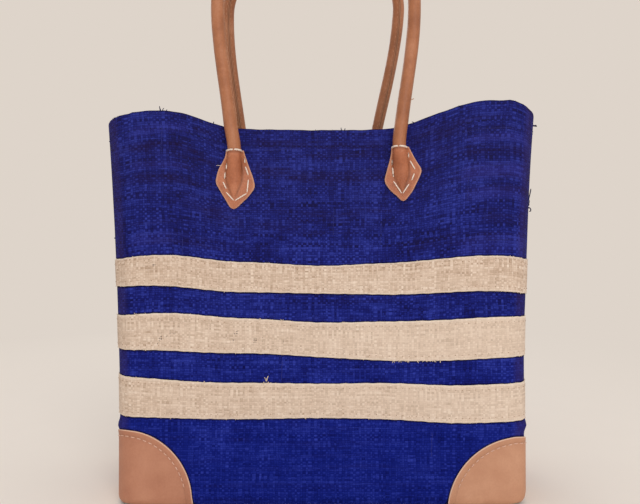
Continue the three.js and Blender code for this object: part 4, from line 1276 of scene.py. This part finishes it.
# Hairs at the bag's corners: turn and h of the root, and the places that each passes, as (out, up)
SIDE_HAIRS = (
    (1.95, 297, (0, 0), (2, 2.5), (1.6, 6), (2.8, 11.5), (3.8, 17)),
    (1.95, 294, (0, 0), (2.7, -0.2), (3.8, -2.8), (2.2, -4)),
    (1.95, 299, (0, 0), (1.8, -1.5), (0.6, -4), (1.4, -6)),
    (1.95, 376, (0, 0), (2.5, 0.4), (5.5, -0.3), (4.6, 1)),
    (1.95, 376, (0, 0), (3, -0.2), (6.2, -0.6)),
    (1.95, 362, (-0.4, 0), (0.7, 0.2), (0.8, -0.8)),
    (-1.95, 313, (-0.4, 0), (0.7, 0.2), (0.9, -0.6)),
    (-1.95, 268, (-0.4, 0), (0.9, 0.3), (1.6, -0.4)),
    (4.4, 330, (0, 0), (1.5, 1), (2, 3.5)),
    (7.6, 350, (0, 0), (1.2, -1), (1.4, -3)),
)
# Paler single strands that lie over the front's blue cloth: from x and h to x and h
PALE_STRANDS = (
    (142, 356, 196, 357), (128, 321, 192, 324), (-161, 342, -160, 366), (-4, 352, -4, 376),
    (28, 338, 60, 340), (60, 262, 61, 286), (147, 292, 148, 316), (-60, 359, -30, 361),
    (166, 255, 200, 256), (-140, 236, -139, 262), (12, 272, 13, 300), (-40, 126, -39, 146),
    (110, 50, 111, 74),
)
# Where strand ends have worked out of the bands' raw edges on the front: band, edge and the x of each
LOOSE_ENDS = (
    ("middle", 1, -189, -61, -39), ("middle", -1, -176), ("lower", 1, -192, -117, -57, -53),
    ("middle", -1, 72, 79, 86, 96, 104, 113, 119),
)


def fibre(start, direction, length, curl, count=7):
    """A springy raffia hair that leaves a point and curls."""
    direction = unit(np.asarray(direction, float))
    side = unit(np.cross(direction, [0.3, 1.0, 0.2]))
    t = np.linspace(0, 1, count)[:, None]
    return start + direction * t * length + side * curl * np.sin(t * 2.2) * t * length


def build_whiskers():
    """The stray ends that stand up from the rim and the corners."""
    paths = []
    for x, aside, length, curl in RIM_HAIRS:
        turn = panel_turn(FRONT, x, RIM_HEIGHT + 2.0)[0]
        paths.append(fibre(wall_point(turn, RIM_HEIGHT - 1.5, 0), (aside, -0.1, 1), length, curl))
    for turn, h, *steps in SIDE_HAIRS:
        out, up = (smooth_curve(values, np.linspace(0, 1, 14))[:, None] for values in zip(*steps))
        start = wall_point(turn, h, 0.4)
        paths.append(start + unit(start * [1, 0, 0]) * out + np.array([0, 0, 1]) * up)
    radii = [0.42] * len(RIM_HAIRS) + [0.58] * len(SIDE_HAIRS)
    for _ in range(120):
        turn = rng.uniform(*STREWN)
        start = wall_point(turn, RIM_HEIGHT - rng.uniform(0, 2), -rng.uniform(0, 3))
        way = rng.normal(0, 0.6, 3) + [0, 0, 0.8]
        paths.append(fibre(start, way, rng.uniform(0.6, 1.6), rng.uniform(-0.7, 0.7), 5))
        radii.append(rng.uniform(0.1, 0.2))
    tubes("raffia_hairs", paths, radii, "blue_fibre", "bag", 4)


def build_pale_strands():
    paths = []
    share = np.linspace(0, 1, 22)
    over = 0.1 + 0.16 * np.where(np.arange(22) % 2, 1, -1)
    for x_from, h_from, x_to, h_to in PALE_STRANDS:
        x = lerp(x_from, x_to, share) + 0.3 * np.sin(share * 17)
        h = lerp(h_from, h_to, share)
        paths.append(wall_point(x / plan_at(h)[1], h, over))
    tubes("pale_strands", paths, 0.3, "pale_blue", "bag", 6, 0.7)


def build_frays():
    """Cut strand ends along the raw edges of the bands, and the tuft above the lowest."""
    paths = []
    for (_, way), edge in BAND_EDGES.items():
        for turn in rng.uniform(*STREWN, 80):
            h = band_edge(*edge, turn)
            start = wall_point(turn, h - way * 0.8, BAND_GAP + BAND_THICKNESS * rng.uniform(0.2, 0.9))
            root = wall_point(turn, h, 0)
            up, outward = wall_point(turn, h + 1, 0) - root, wall_point(turn, h, 1) - root
            lean = rng.normal(0, 0.5) * unit(np.cross(up, outward))
            length, curl = rng.uniform(1.1, 1.9), rng.uniform(-0.5, 0.5)
            paths.append(fibre(start, way * up + lean + 0.25 * outward, length, curl, 4))
    for level, way, *places in LOOSE_ENDS:
        edge = BAND_EDGES[level, way]
        for x in places:
            turn = x / plan_at(edge[0])[1]
            for _ in range(3):
                start = wall_point(turn, band_edge(*edge, turn) - way, BAND_GAP + 0.8)
                direction = (rng.normal(0, 0.7), -0.3, way)
                paths.append(fibre(start, direction, rng.uniform(1.8, 3.2), rng.uniform(-0.8, 0.8), 6))
    for aside, length in ((-0.9, 5), (0.7, 6), (1.3, 5), (0.2, 3.5)):
        start = panel_point(FRONT, -55.0, 125.5, 0.4)
        paths.append(fibre(start, (aside, -0.25, 1), length, 0.5 * aside))
    radii = rng.uniform(0.2, 0.4, len(paths))
    tubes("band_frays", paths, radii, "natural_thread", "bag", 4)


# Floor, light and camera

BACKDROP = (222, 212, 202)
FLOOR_TINT = 1.2  # over the backdrop's colour, so that the lit floor looks the same as the backdrop


def build_stage():
    """A pale floor that keeps the bag's shadow near by and becomes one with the backdrop far off."""
    angle = np.linspace(0, 2 * math.pi, 65)[:-1]
    ring = np.stack([np.cos(angle), np.sin(angle), 0 * angle], -1)
    points = np.array([10, 400, 1500, 9000])[:, None, None] * ring - [0, 0, 0.6]
    faces = grid(points.shape[:2], False, True)[0]
    mesh = plain_mesh("floor", points, [*faces.tolist(), list(range(64))])
    g = Graph("floor_paint")
    place = g.vector("place")
    x, y, _ = g.parts(place)
    away = g.math("SQRT", g.total(g.times(x, x), g.times(y, y)))
    grit = g.noise(place, 0.02, 3.0)
    base = g.layers(rgb(*BACKDROP, FLOOR_TINT), (grit, (*BACKDROP, 0.985 * FLOOR_TINT)))
    lit = g.surface(base, 0.9, grit, 0.00001, 0.0)
    plain = g.node("ShaderNodeEmission", {"Color": rgb(*BACKDROP), "Strength": 1.0})
    far = g.times(g.fit(away, 450.0, 1400.0), g.plain_rays())
    mixed = g.node("ShaderNodeMixShader", {0: far, 1: lit, 2: plain})
    g.node("ShaderNodeOutputMaterial", {"Surface": mixed})
    mesh.materials.append(g.material)
    floor = placed("floor", mesh)


def add_area_light(name, place, target, size, power):
    data = bpy.data.lights.new(name, "AREA")
    data.shape, data.size, data.energy = "DISK", size, power
    lamp = placed(name, data)
    lamp.location = place
    lamp.rotation_euler = (Vector(target) - Vector(place)).to_track_quat("-Z", "Y").to_euler()


def build_light():
    """Soft light from all round, a large lamp behind the camera, a little to its right, and a weaker one
    behind the bag. Lengths are in metres here and for the camera."""
    g = Graph("room", bpy.data.worlds.new("room"))
    room = g.node("ShaderNodeBackground", {"Color": (1, 1, 1, 1), "Strength": 0.7})
    plain = g.node("ShaderNodeBackground", {"Color": rgb(*BACKDROP), "Strength": 1.0})
    mixed = g.node("ShaderNodeMixShader", {0: g.plain_rays(), 1: room, 2: plain})
    g.node("ShaderNodeOutputWorld", {"Surface": mixed})
    bpy.context.scene.world = g.material
    add_area_light("window", (0.55, -2.25, 1.3), (0, 0, 0.22), 1.8, 26)
    add_area_light("room_fill", (-0.8, 2.2, 1.6), (0, 0, 0.22), 1.6, 10)


def build_camera():
    """Level, square on, at the distance that gives the picture 600 pixels a metre at the front."""
    data = bpy.data.cameras.new("camera")
    data.sensor_width, data.lens = 36, 33.75
    camera = placed("camera", data)
    camera.location = (-0.0012, -0.68, 0.255)
    camera.rotation_euler = (RIGHT_ANGLE, 0, 0)
    bpy.context.scene.camera = camera


build_camera()
build_light()
build_stage()
build_walls()
build_base()
build_lining()
build_bands()
build_corners()
for tab in TABS:
    build_tab(tab)
    build_backing(tab)
build_handle("front")
build_handle("back")
build_tab_stitches()
build_corner_stitches()
build_band_stitches()
build_hem_stitches()
build_whiskers()
build_pale_strands()
build_frays()

bpy.context.scene.view_settings.view_transform = "Standard"
